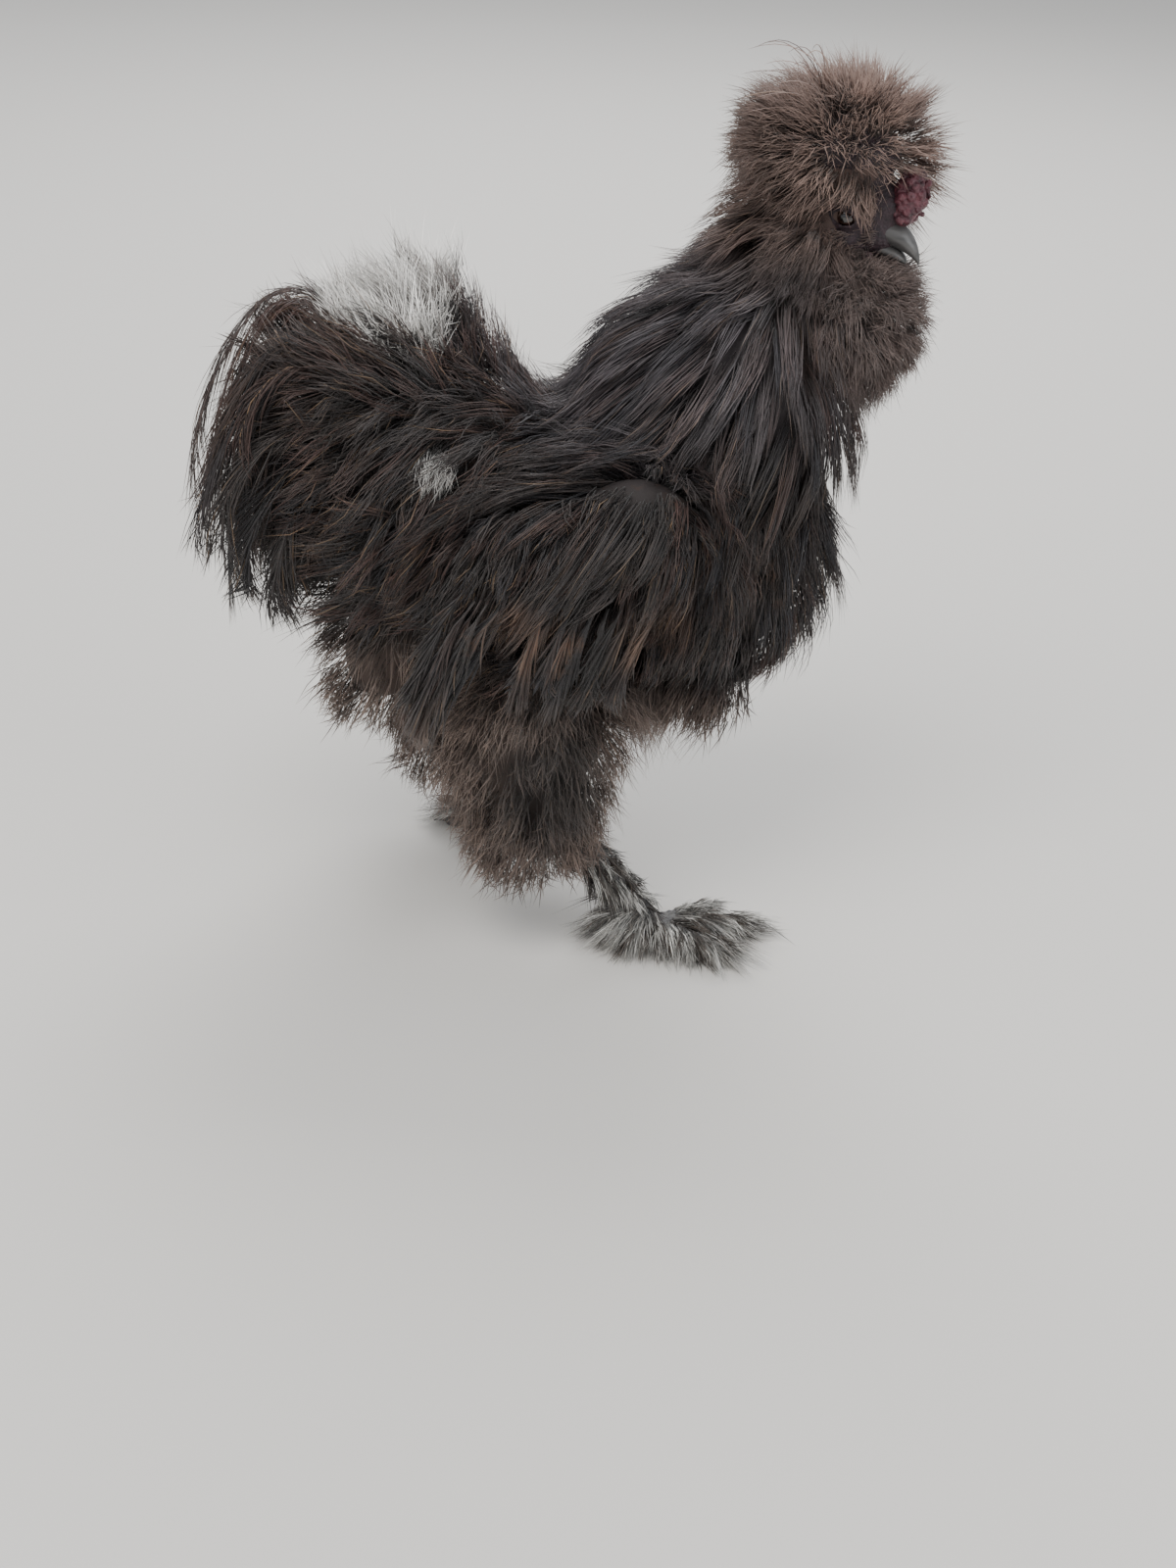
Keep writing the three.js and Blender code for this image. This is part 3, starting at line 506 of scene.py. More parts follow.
def coat_piece(name, made, material, replaced=()):
    """One piece of the coat from sets of lines, each with its sides, widths, roots and clumps."""
    points, quads, tris, shares, tones, clumps, uvs = [], [], [], [], [], [], []
    start = 0
    for lines, sides, width, roots, clump in made:
        p, q, t, s, each = blades(lines, sides, width)
        points.append(p)
        quads.append(q + start)
        tris.append(t + start)
        shares.append(s)
        tones.append(np.repeat(rng.uniform(0, 1, len(lines)), each))
        clumps.append(np.repeat(clump, each))
        local = np.arange(each)
        patch = np.stack([(local % 3) / 3, (local // 3) / max(each // 3, 1)], 1) * PATCH
        uvs.append((unwrap(roots)[:, None, :] + patch[None]).reshape(-1, 2))
        start += len(p)
    quads, tris = np.concatenate(quads), np.concatenate(tris)
    obj = make_mesh(name, np.concatenate(points), quads, tris)
    for label, values in (("along", shares), ("tone", tones), ("clump", clumps)):
        layer = obj.data.attributes.new(label, "FLOAT", "POINT")
        layer.data.foreach_set("value", np.concatenate(values).astype(np.float32))
    layer = obj.data.uv_layers.new(name="OFBake")
    loops = np.concatenate([quads.reshape(-1), tris.reshape(-1)])
    layer.data.foreach_set("uv", np.concatenate(uvs)[loops].astype(np.float32).ravel())
    dress(obj, material, replaced)
    print(name, len(quads) * 2 + len(tris), "triangles")


# Half sizes, along and up the head, of the ovals that stay clear of barbs
EYE_GAP = (8.2, 4.8)
COMB_GAP = (8.4, 13.5)


def over_face(lines):
    """Lines that would cross an eye, the comb or the bill."""
    q = to_head(lines.reshape(-1, 3)).reshape(lines.shape)
    x, y, z = q[..., 0], q[..., 1], q[..., 2]
    eye = np.hypot((x - EYE[0] - 0.5) / EYE_GAP[0], (z - EYE[2]) / EYE_GAP[1]) < 1
    eye &= np.abs(y) > 7
    comb = np.hypot((x - COMB_AT[0] - 2.5) / COMB_GAP[0], (z - COMB_AT[2]) / COMB_GAP[1]) < 1
    comb &= (y < 6) & (y > -30)
    bill = (x > 25) & (np.abs(y) < 10) & (z < 8) & (z > -9)
    return (eye | comb | bill).any(axis=1)


def tuft_set(roots, spec):
    """Guides and strands for one region, ready for coat_piece."""
    guides = grow(roots, spec)
    lines, sides, owner = strands(guides, spec)
    if spec["clear"]:
        keep = ~over_face(lines)
        lines, sides, owner = lines[keep], sides[keep], owner[keep]
    clump = rng.uniform(0, 1, len(guides))[owner]
    width = spec["width"] * rng.uniform(0.7, 1.2, len(lines))
    return lines, sides, width, roots[owner], clump


def pick(points, count):
    """Some of the points, moved a little so that they keep no rows."""
    chosen = rng.choice(len(points), count, replace=count > len(points))
    return points[chosen] + rng.uniform(-1.6, 1.6, (count, 3))


def coat(name, material, slot, *sets, replaced=()):
    """One piece of the coat from sets of places for roots, each with its number and kind of tufts."""
    made = [tuft_set(pick(points, count), spec) for points, count, spec in sets]
    coat_piece(name, made, material, replaced)


# Materials
def new_material(name):
    material = bpy.data.materials.new(name)
    material.use_nodes = True
    return material, material.node_tree, material.node_tree.nodes["Principled BSDF"]


def tune(made, **values):
    """Sets a node's inputs, named with a capital and underscores for blanks, and its properties."""
    for key, value in values.items():
        if key[0].isupper():
            made.inputs[key.replace("_", " ")].default_value = value
        else:
            setattr(made, key, value)
    return made


def node(tree, kind, **values):
    return tune(tree.nodes.new(kind), **values)


def object_place(tree):
    return tree.nodes.new("ShaderNodeTexCoord").outputs["Object"]


def math_node(tree, operation, *values):
    made = node(tree, "ShaderNodeMath", operation=operation)
    for socket, value in zip(made.inputs, values):
        if isinstance(value, (int, float)):
            socket.default_value = value
        else:
            tree.links.new(value, socket)
    return made.outputs[0]


def vector_node(tree, operation, first, second=None):
    """Vector arithmetic of a link with a fixed vector."""
    made = node(tree, "ShaderNodeVectorMath", operation=operation)
    tree.links.new(first, made.inputs[0])
    if second is not None:
        made.inputs[1].default_value = second
    return made.outputs["Value" if operation in ("LENGTH", "DOT_PRODUCT") else "Vector"]


def ramp(tree, value, low, high, first=0, last=1, smooth=True):
    """Runs from first to last while the value runs from low to high."""
    made = node(
        tree, "ShaderNodeMapRange", interpolation_type="SMOOTHSTEP" if smooth else "LINEAR",
        From_Min=low, From_Max=high, To_Min=first, To_Max=last,
    )
    tree.links.new(value, made.inputs["Value"])
    return made.outputs[0]


def noise(tree, scale, detail=4.0, roughness=0.6, where=None):
    made = node(tree, "ShaderNodeTexNoise", Scale=scale, Detail=detail, Roughness=roughness)
    tree.links.new(object_place(tree) if where is None else where, made.inputs["Vector"])
    return made.outputs[0]


def mix_colour(tree, factor, a, b, blend="MIX"):
    made = tree.nodes.new("ShaderNodeMix")
    made.data_type = "RGBA"
    made.blend_type = blend
    for socket, value in ((made.inputs[0], factor), (made.inputs[6], a), (made.inputs[7], b)):
        if hasattr(value, "is_output"):
            tree.links.new(value, socket)
        elif isinstance(value, (int, float)):
            socket.default_value = value
        else:
            socket.default_value = (*value, 1)
    return made.outputs[2]


def near_spot(tree, where, centre, size, edge):
    """1 inside an ellipsoid about a spot in millimetres, falling to 0 over the edge."""
    shift = vector_node(tree, "SUBTRACT", where, [c * MM for c in centre])
    scale = vector_node(tree, "DIVIDE", shift, [s * MM for s in size])
    return ramp(tree, vector_node(tree, "LENGTH", scale), 1 - edge, 1 + edge, 1, 0)


# The bird's markings, with painted light: charcoal, with a browner crest, beard, rear and thigh fluff, white
# down on the top of the cushion and grey-white feet; a painted bluish-grey sheen over the hackle, a
# painted highlight on the crest's sides and painted shade at the crest's back.
CHARCOAL = (0.034, 0.027, 0.025)
FLUFF_BROWN = (0.155, 0.115, 0.095)
RUFOUS = (0.13, 0.065, 0.035)
WHITE = (0.62, 0.60, 0.57)
RED_BROWN = (0.060, 0.030, 0.024)
BLUE_BLACK = (0.014, 0.016, 0.022)
STRAW_GLINT = (0.33, 0.21, 0.11)
# Each spot's centre and half sizes in millimetres, soft edge, colour and share
SPOTS = [
    # Painted bluish-grey sheen over the neck's hackle
    ((44, 0, 256), (78, 74, 50), 0.4, (0.098, 0.086, 0.092), 0.9),
    ((108, 0, 335), (62, 60, 44), 0.25, (0.20, 0.135, 0.112), 1.0),
    ((118, 0, 268), (38, 42, 40), 0.3, (0.15, 0.112, 0.100), 0.9),
    ((-44, 40, 210), (34, 44, 36), 0.4, (0.055, 0.046, 0.044), 0.7),
    ((-30, 40, 78), (110, 70, 54), 0.25, FLUFF_BROWN, 1.0),
    ((62, 0, 92), (50, 60, 26), 0.4, FLUFF_BROWN, 0.7),
    ((10, 86, 150), (62, 26, 16), 0.4, (0.016, 0.014, 0.014), 0.7),
    ((-128, 0, 232), (46, 70, 70), 0.4, (0.050, 0.036, 0.031), 0.7),
    ((6, 76, 84), (22, 40, 30), 0.4, (0.034, 0.027, 0.024), 0.9),
    ((-8, 84, 156), (16, 26, 14), 0.5, (0.125, 0.072, 0.046), 0.7),
    ((46, 84, 156), (16, 26, 14), 0.5, (0.115, 0.072, 0.050), 0.7),
    # Painted shade at the back of the crest
    ((72, 0, 320), (26, 60, 36), 0.5, (0.130, 0.090, 0.076), 0.8),
    # A painted highlight on the crest's sides, over the shade between its tufts
    ((114, 50, 332), (24, 40, 20), 0.5, (0.260, 0.180, 0.150), 0.8),
]


def markings_and_painted_light_group():
    """The colour of skin and coat by place, with brown glints and the spots' painted sheen, highlight and
    shade, as one group that both use.
    """
    tree = bpy.data.node_groups.new("markings_and_painted_light", "ShaderNodeTree")
    tree.interface.new_socket("Colour", in_out="OUTPUT", socket_type="NodeSocketColor")
    end = tree.nodes.new("NodeGroupOutput")
    where = object_place(tree)
    split = tree.nodes.new("ShaderNodeSeparateXYZ")
    tree.links.new(where, split.inputs[0])
    both = tree.nodes.new("ShaderNodeCombineXYZ")
    for axis in (0, 2):
        tree.links.new(split.outputs[axis], both.inputs[axis])
    tree.links.new(math_node(tree, "ABSOLUTE", split.outputs[1]), both.inputs[1])
    colour = CHARCOAL
    for centre, size, edge, paint, share in SPOTS:
        mask = near_spot(tree, both.outputs[0], centre, size, edge)
        colour = mix_colour(tree, math_node(tree, "MULTIPLY", mask, share), colour, paint)
    glints = ramp(tree, noise(tree, 60.0, 4.0, 0.7, where), 0.56, 0.68, smooth=False)
    flank = near_spot(tree, where, (0, 0, 180), (110, 120, 55), 0.4)
    streaks = math_node(tree, "MULTIPLY", glints, flank)
    colour = mix_colour(tree, math_node(tree, "MULTIPLY", streaks, 0.5), colour, RUFOUS)
    shade = math_node(tree, "MULTIPLY_ADD", noise(tree, 26.0, 3.0, 0.6, where), 1.0, 0.5)
    colour = mix_colour(tree, 1.0, colour, shade, "MULTIPLY")
    down = near_spot(tree, where, (-72, 0, 282), (26, 28, 18), 0.4)
    colour = mix_colour(tree, math_node(tree, "MULTIPLY", down, 0.6), colour, WHITE)
    tree.links.new(colour, end.inputs[0])
    return tree


MARKINGS_AND_PAINTED_LIGHT = markings_and_painted_light_group()


def markings_and_painted_light(tree):
    return node(tree, "ShaderNodeGroup", node_tree=MARKINGS_AND_PAINTED_LIGHT).outputs[0]


def coat_material(name, root=0.5, tip=1.4, warm=0.5, cold=0.5, glint=0.5, contrast=0.6, rough=0.5, paint=()):
    """Feather barbs: the markings with their painted light, or a paint, darker at the root and lighter at the
    tip. Whole tufts turn redder or bluer, and single barbs carry a painted straw-coloured glint that grows
    towards the tip."""
    material, tree, shader = new_material(name)
    along, tone, clump = [
        node(tree, "ShaderNodeAttribute", attribute_name=label).outputs["Fac"]
        for label in ("along", "tone", "clump")
    ]

    def scaled(value, factor, plus=0):
        return math_node(tree, "MULTIPLY_ADD", value, factor, plus)

    def times(one, other):
        return math_node(tree, "MULTIPLY", one, other)

    if paint:
        one, other, change = paint
        colour = mix_colour(tree, ramp(tree, clump, *change), one, other)
    else:
        colour = markings_and_painted_light(tree)
    colour = mix_colour(tree, scaled(ramp(tree, clump, 0.6, 0.95), warm), colour, RED_BROWN)
    colour = mix_colour(tree, scaled(ramp(tree, clump, 0.4, 0.05), cold), colour, BLUE_BLACK)
    barb = times(scaled(tone, contrast, 1 - contrast / 2), scaled(along, tip - root, root))
    tuft = math_node(tree, "FRACT", scaled(clump, 7))
    bright = times(barb, scaled(tuft, contrast, 1 - contrast / 2))
    colour = mix_colour(tree, 1.0, colour, bright, "MULTIPLY")
    # Painted straw-coloured glints on single barbs, strongest towards the tip
    shine = times(ramp(tree, tone, 0.93, 0.97), scaled(along, glint))
    colour = mix_colour(tree, shine, colour, STRAW_GLINT)
    tree.links.new(colour, shader.inputs["Base Color"])
    tune(shader, Roughness=rough, Specular_IOR_Level=0.35, Sheen_Weight=0.10, Sheen_Roughness=0.45)
    return material


def bumped(tree, shader, height, strength, distance):
    bump = node(tree, "ShaderNodeBump", Strength=strength, Distance=distance)
    tree.links.new(height, bump.inputs["Height"])
    tree.links.new(bump.outputs[0], shader.inputs["Normal"])


def body_skin():
    material, tree, shader = new_material("body_skin")
    colour = mix_colour(tree, 1.0, markings_and_painted_light(tree), (0.45, 0.42, 0.42), "MULTIPLY")
    tree.links.new(colour, shader.inputs["Base Color"])
    tune(shader, Roughness=0.8)
    bumped(tree, shader, noise(tree, 900), 0.5, 0.0006)
    return material


def flesh(name, dark, light, scale, rough, strength=0.6, distance=0.0005):
    """Bare skin: mottled between two colours, pimpled at the scale."""
    material, tree, shader = new_material(name)
    spread = ramp(tree, noise(tree, scale * 0.35, 5.0, 0.65), 0.35, 0.65, smooth=False)
    tree.links.new(mix_colour(tree, spread, dark, light), shader.inputs["Base Color"])
    tune(
        shader, Roughness=rough, Subsurface_Weight=0.08, Subsurface_Radius=(0.003, 0.0012, 0.001),
        Subsurface_Scale=0.5,
    )
    pimples = node(tree, "ShaderNodeTexVoronoi", Scale=scale)
    tree.links.new(object_place(tree), pimples.inputs["Vector"])
    height = math_node(tree, "MULTIPLY_ADD", noise(tree, scale * 3.0), 0.35, pimples.outputs[0])
    bumped(tree, shader, height, strength, distance)
    return material


def horn(name, dark, light, axis_scale, rough):
    """Horn: streaked along its length."""
    material, tree, shader = new_material(name)
    stretched = vector_node(tree, "MULTIPLY", object_place(tree), axis_scale)
    streaks = noise(tree, 1.0, 4.0, 0.5, stretched)
    tree.links.new(mix_colour(tree, streaks, dark, light), shader.inputs["Base Color"])
    tune(shader, Roughness=rough)
    bumped(tree, shader, streaks, 0.3, 0.0002)
    return material


# The bird
SKIN_MATERIALS = [
    body_skin(),
    flesh("face_skin", (0.014, 0.008, 0.011), (0.040, 0.020, 0.027), 900, 0.6),
    flesh("leg_skin", (0.045, 0.043, 0.045), (0.10, 0.095, 0.09), 700, 0.5),
]


def make_skin():
    """The skin as one piece. Gives back the points of its body."""
    points, quads, kinds = [], [], []
    start = 0
    for p, q, kind in skin_parts():
        points.append(p)
        quads.append(q + start)
        kinds.append(np.full(len(q), kind))
        start += len(p)
    obj = make_mesh("skin", np.concatenate(points), np.concatenate(quads), EMPTY)
    for material in SKIN_MATERIALS:
        obj.data.materials.append(material)
    obj.data.polygons.foreach_set("material_index", np.concatenate(kinds).astype(np.int32))
    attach(obj, "root")
    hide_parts("torso", "neck", "head", "shank_right", "shank_left", "foot_right", "foot_left")
    print("skin", start, "points")
    return points[0]


BODY_POINTS = make_skin()


def regions():
    """Skin points by region, apart from those that another form covers."""
    shifted = form_fields(BODY_POINTS) + np.array([depth_of(n) for n in NAMES])[:, None]
    owner = np.argmin(shifted, axis=0)
    return {n: BODY_POINTS[owner == i] for i, n in enumerate(NAMES)}


REGIONS = regions()


def sideways(x, y, z):
    return np.stack(np.broadcast_arrays(x, y, z), -1).astype(float)


def backness(p):
    return clamp((95 - p[:, 0]) / 70)


def hackle_lie(p):
    b = backness(p)
    b = b * mix(1, 0.45, clamp((p[:, 2] - 268) / 20)) * mix(1, 0.4, clamp((236 - p[:, 2]) / 24))
    return sideways(mix(-0.12, -0.85, b), 0.12 * np.sign(p[:, 1]) * b, mix(-1, -0.6, b))


def torso_lie(p):
    return sideways(mix(-0.2, -0.55, clamp((40 - p[:, 0]) / 80)), 0, -1)


def hackle_rise(p):
    return mix(12, 15, clamp((p[:, 2] - 264) / 22) * clamp((95 - p[:, 0]) / 20))


def torso_rise(p):
    return mix(11, 4.5, clamp((p[:, 0] - 30) / 25) * clamp((165 - p[:, 2]) / 25))


def flank_floor(p):
    return mix(mix(150, 126, clamp((p[:, 0] + 50) / 40)), 90, clamp((p[:, 0] - 30) / 40))


def wing_floor(p):
    return mix(108, 139, clamp((p[:, 0] + 44) / 26))


def beard_lie(p):
    return sideways((p[:, 0] - 110) / 34, (p[:, 1] + 6) / 30, np.where(p[:, 2] > 276, -0.35, -1))


def rear_lie(p):
    return sideways(mix(-0.1, -0.6, clamp((-30 - p[:, 0]) / 40)), 0, -1)


def saddle_lie(p):
    s = clamp((np.abs(p[:, 1]) - 8) / 30)
    return sideways(mix(-1, -0.5, s), np.sign(p[:, 1]) * 0.25 * s, mix(0.55, -1, s))


def crest_rise(p):
    return mix(12, 20, clamp((p[:, 0] - 80) / 45))


CROWN = np.array([112.0, 2.0, 330.0])


def crest_lie(p):
    away = (p - CROWN) / 30
    fall = -0.85 * clamp((342 - p[:, 2]) / 30)
    return sideways(away[:, 0] - 0.12, away[:, 1], fall)


def straight(x, y, z):
    return lambda p: np.broadcast_to(np.array([x, y, z], float), p.shape).copy()


def cape_lie(p):
    return sideways(-0.5, mix(0.12, 0.8, clamp((np.abs(p[:, 1]) - 50) / 20)) * np.sign(p[:, 1]), -0.85)


def cape_rise(p):
    return mix(17, 8, clamp((np.abs(p[:, 1]) - 45) / 20))


def wing_lie(p):
    return sideways(-0.35, mix(0, 0.6, clamp((p[:, 2] - 172) / 20)) * np.sign(p[:, 1]), -1)


# What every kind of tuft says: the length of its guides, their lie, how far they stand up at the root
# and turn at each step, their rise over the flesh and the limit above it, the number, spread and width
# of the barbs, how they gather, frizz and curl, where they leave the guide, and how low they may hang
COAT = dict(
    rings=3, limit=2.5, curve=0.6, shortest=0.6, loft=(0.55, 1.05), floor=1.0, ragged=0.0, clear=False,
)
FLUFF = dict(COAT, rings=2, shortest=0.5)
FACE = dict(COAT, rings=2, gather=0.9, clear=True)
HACKLE = dict(
    COAT, length=lambda p: mix(48, 64, backness(p)), lie=hackle_lie, stand=0.4, turn=0.3, rise=hackle_rise,
    strands=20, spread=4.6, width=0.56, gather=0.45, frizz=1.2, stray=0.05, curl=3.0, leave=0.35,
    loft=(0.25, 1.05),
)
TORSO = dict(
    COAT, length=42, lie=torso_lie, stand=0.45, turn=0.3, rise=torso_rise, limit=3,
    strands=16, spread=4.8, width=0.64, gather=0.6, frizz=2.0, stray=0.09, curl=3.5, leave=0.4,
    floor=flank_floor, ragged=14,
)
SADDLE = dict(
    COAT, length=lambda p: mix(36, 50, clamp((np.abs(p[:, 1]) - 8) / 30)), lie=saddle_lie,
    stand=0.7, turn=0.3, rise=13, limit=4, strands=15, spread=4.2, width=0.56, gather=0.5, frizz=2.4,
    stray=0.14, curl=7.0, leave=0.4,
)
CUSHION = dict(
    COAT, length=46, lie=straight(-0.75, 0, 0.6), stand=1.1, turn=0.25, rise=25, limit=7, curve=0.8,
    strands=18, spread=5.0, width=0.6, gather=0.6, frizz=2.8, stray=0.12, curl=5.0, leave=0.4,
)
TAIL_FLUFF = dict(
    COAT, length=42, lie=straight(-0.8, 0, -0.35), stand=0.8, turn=0.25, rise=14, limit=10,
    strands=15, spread=4.6, width=0.58, gather=0.5, frizz=2.8, stray=0.16, curl=7.0, leave=0.4,
)
WING = dict(
    COAT, length=27, lie=wing_lie, stand=0.5, turn=0.4, rise=7.5,
    strands=16, spread=4.4, width=0.58, gather=0.45, frizz=1.7, stray=0.09, curl=4.0, leave=0.2,
    floor=wing_floor, ragged=10,
)
THIGH = dict(
    FLUFF, length=31, lie=straight(-0.08, 0, -1), stand=0.9, turn=0.2, rise=13,
    strands=27, spread=5.6, width=0.5, gather=1.0, frizz=3.2, stray=0.14, curl=3.0, leave=0.6,
    floor=32, ragged=9,
)
BELLY = dict(
    FLUFF, length=48, lie=straight(-0.3, 0, -1), stand=0.5, turn=0.25, rise=21, limit=8,
    strands=26, spread=5.5, width=0.55, gather=0.9, frizz=3.4, stray=0.12, curl=4.0, leave=0.6,
    floor=72, ragged=16,
)
REAR = dict(
    FLUFF, length=32, lie=rear_lie, stand=0.6, turn=0.25, rise=9, limit=3,
    strands=28, spread=5.2, width=0.5, gather=0.9, frizz=3.0, stray=0.12, curl=3.0, leave=0.55,
    floor=52, ragged=12,
)
CREST = dict(
    FACE, length=27, lie=crest_lie, stand=1.2, turn=0.16, rise=crest_rise, limit=3,
    strands=36, spread=5.2, width=0.56, gather=1.0, frizz=2.4, stray=0.1, curl=1.5, curve=0.75,
    leave=0.45, shortest=0.55, loft=(0.75, 1.0),
)
BEARD = dict(
    FACE, length=25, lie=beard_lie, stand=0.9, turn=0.25, rise=11,
    strands=28, spread=3.8, width=0.44, frizz=2.2, stray=0.1, curl=2.0, leave=0.6,
)
CHIN = dict(
    FACE, length=25, lie=straight(0.28, 0, -1), stand=0.6, turn=0.2, rise=9, limit=3,
    strands=28, spread=2.6, width=0.36, frizz=1.6, stray=0.1, curl=1.5, leave=0.5,
)
MUFF = dict(
    FACE, length=21, lie=straight(-0.6, 0, -0.8), stand=0.8, turn=0.25, rise=8,
    strands=26, spread=3.0, width=0.42, frizz=1.8, stray=0.1, curl=2.0, leave=0.5,
)
CHEEK = dict(
    FACE, length=12, lie=straight(-0.55, 0, -0.8), stand=0.6, turn=0.2, rise=4.0, limit=2,
    strands=16, spread=2.0, width=0.3, frizz=1.2, stray=0.1, curl=1.0, leave=0.4,
)

CAPE = dict(HACKLE, lie=cape_lie, length=60, rise=cape_rise, limit=5)
NAPE = dict(HACKLE, lie=straight(-0.75, 0, -0.65), length=36, rise=15, limit=3, strands=24)
CREST_FILL = dict(CREST, stand=1.5, turn=0.9, length=22)
THIGH_TOP = dict(THIGH, stand=1.3, turn=0.6, length=24)
BROW = dict(CHEEK, lie=straight(-0.9, 0, 0.35), length=9, rise=3)
LORE = dict(CHEEK, lie=straight(-1, 0, -0.1), length=9, rise=2.5)
BEARD_TOP = dict(BEARD, lie=straight(0.6, 0, 0.05), stand=1.2, length=21, rise=10)
UNDER_TAIL = dict(TAIL_FLUFF, lie=straight(-0.85, 0, -0.4), rise=20, limit=6, length=40)
WHITE_DOWN = dict(
    CUSHION, lie=straight(-0.3, 0, 0.9), strands=58, width=0.46, rings=2, length=38, rise=28, limit=5,
    spread=6.5, gather=0.9, frizz=3.2, leave=0.7, shortest=0.4,
)
FLANK = dict(
    MUFF, lie=straight(0.05, 0, -1), stand=1.0, rise=16, limit=2, strands=75, length=27, spread=4.6,
    gather=0.35, leave=0.6, shortest=0.4, width=0.26, frizz=2.6, clear=False,
)
FLANK_SPOT = np.array([-46.0, -60, 236])

DARK = coat_material("plumage_dark", cold=0.6, warm=0.45, glint=0.3)
SHAGGY = coat_material("plumage_shaggy", cold=0.5, warm=0.7, glint=0.6)
BROWNISH = coat_material(
    "plumage_brown", root=0.85, tip=1.25, warm=0.15, cold=0.15, glint=0.1, contrast=0.35, rough=0.6,
)
SOFT = coat_material("fluff", root=0.4, tip=1.7, warm=0.15, cold=0.15, glint=0.2, rough=0.65)
DOWN = coat_material(
    "white_down", root=0.5, tip=1.15, warm=0.0, cold=0.0, glint=0.0, rough=0.7,
    paint=((0.30, 0.27, 0.25), (0.74, 0.72, 0.69), (0.05, 0.45)),
)


def side_of(points, side):
    return points[points[:, 1] * side >= 0]


def face_roots(points):
    """Feathered skin of the head: the cheeks and nape, clear of the eye and of the bare face."""
    q = to_head(points)
    m = np.abs(q[:, 1])
    eye_gap = np.hypot(q[:, 0] - EYE[0], q[:, 2] - EYE[2])
    behind = q[:, 0] < 8
    low = (q[:, 2] < -4) & (q[:, 0] < 20)
    above = (q[:, 2] > 6) & (q[:, 0] < 25)
    return points[(eye_gap > 5.8) & (m > 3) & (behind | low | above)]


FAR = 1000
ANY = (-FAR, FAR)


def take(points, x=ANY, z=ANY, wide=(-1, FAR), at=None):
    """The points with x, z and the distance from the middle plane between bounds. The bounds are for
    the points themselves, or for their places in another frame."""
    q = points if at is None else at
    across = np.abs(q[:, 1])
    inside = (q[:, 0] > x[0]) & (q[:, 0] < x[1]) & (q[:, 2] > z[0]) & (q[:, 2] < z[1])
    return points[inside & (across > wide[0]) & (across < wide[1])]


def join(*names):
    return np.concatenate([REGIONS[name] for name in names])


def coat_neck():
    """Hackle, nape and cape of each side, which run on over the shoulders and the wings' tops."""
    hackle = take(REGIONS["neck"], z=(190, FAR))
    hackle = hackle[lobe_field(hackle, FORMS["crest"][1]) > 9]
    shoulders = take(join("torso", "wing_right", "wing_left"), (4, FAR), (186, FAR))
    nape = take(hackle, (-FAR, 92), (262, FAR))
    hackle = np.concatenate([hackle, shoulders, nape])
    cape = take(join("neck", "torso"), (14, FAR), (200, 240), (22, FAR))
    over_wings = take(join("wing_right", "wing_left"), (10, FAR), (190, FAR))
    cape = np.concatenate([cape, over_wings])
    scruff = take(join("neck", "head", "crest"), (-FAR, 90), (276, 317))
    for name, side in SIDES:
        coat(
            "hackle_" + name, DARK, "plumage_dark", (side_of(hackle, side), 250, HACKLE),
            (side_of(scruff, side), 45, NAPE), (side_of(cape, side), 80, CAPE),
        )


def coat_trunk():
    torso = REGIONS["torso"]
    soft = (torso[:, 2] < mix(174, 146, clamp((torso[:, 0] + 60) / 40))) & (torso[:, 0] < 44)
    firm = torso[~soft]
    coat("breast", DARK, "plumage_dark", (take(firm, (20, FAR)), 355, TORSO))
    coat("back", SHAGGY, "plumage_dark", (take(firm, (-FAR, 20)), 270, TORSO))
    coat("rear_fluff", SOFT, "fluff", (torso[soft], 215, REAR))
    under = take(torso, (20, 80), (-FAR, 140), (-1, 54))
    coat("belly_fluff", SOFT, "fluff", (under, 170, BELLY))


def coat_rump():
    """The saddle, the cushion with its white down, the white tuft on the flank and the tail's fluff."""
    raised = take(join("saddle", "tail"), (-FAR, -36), (226, FAR), (-1, 27))
    low_saddle = take(REGIONS["saddle"], z=(-FAR, 240))
    coat(
        "saddle_feathers", SHAGGY, "plumage_dark", (low_saddle, 220, SADDLE), (raised, 115, CUSHION),
        replaced=["saddle"],
    )
    down = take(raised, (-84, -46), (240, FAR), (-1, 21))
    coat("cushion_down", DOWN, "fluff", (down, 72, WHITE_DOWN))
    nearest = np.argsort(np.linalg.norm(BODY_POINTS - FLANK_SPOT, axis=1))[:4]
    coat("flank_tuft", DOWN, "fluff", (BODY_POINTS[nearest], 4, FLANK))
    stern = take(REGIONS["torso"], (-FAR, -52), (142, FAR))
    coat("tail_fluff", SHAGGY, "plumage_dark", (REGIONS["tail"], 235, TAIL_FLUFF), (stern, 75, UNDER_TAIL))


def coat_limbs():
    for name, _ in SIDES:
        wing, thigh = REGIONS["wing_" + name], REGIONS["thigh_" + name]
        coat("wing_coverts_" + name, SHAGGY, "plumage_dark", (wing, 220, WING), replaced=["wing_" + name])
        coat(
            "thigh_fluff_" + name, SOFT, "fluff", (thigh, 250, THIGH),
            (take(thigh, z=(114, FAR)), 55, THIGH_TOP), replaced=["thigh_" + name],
        )


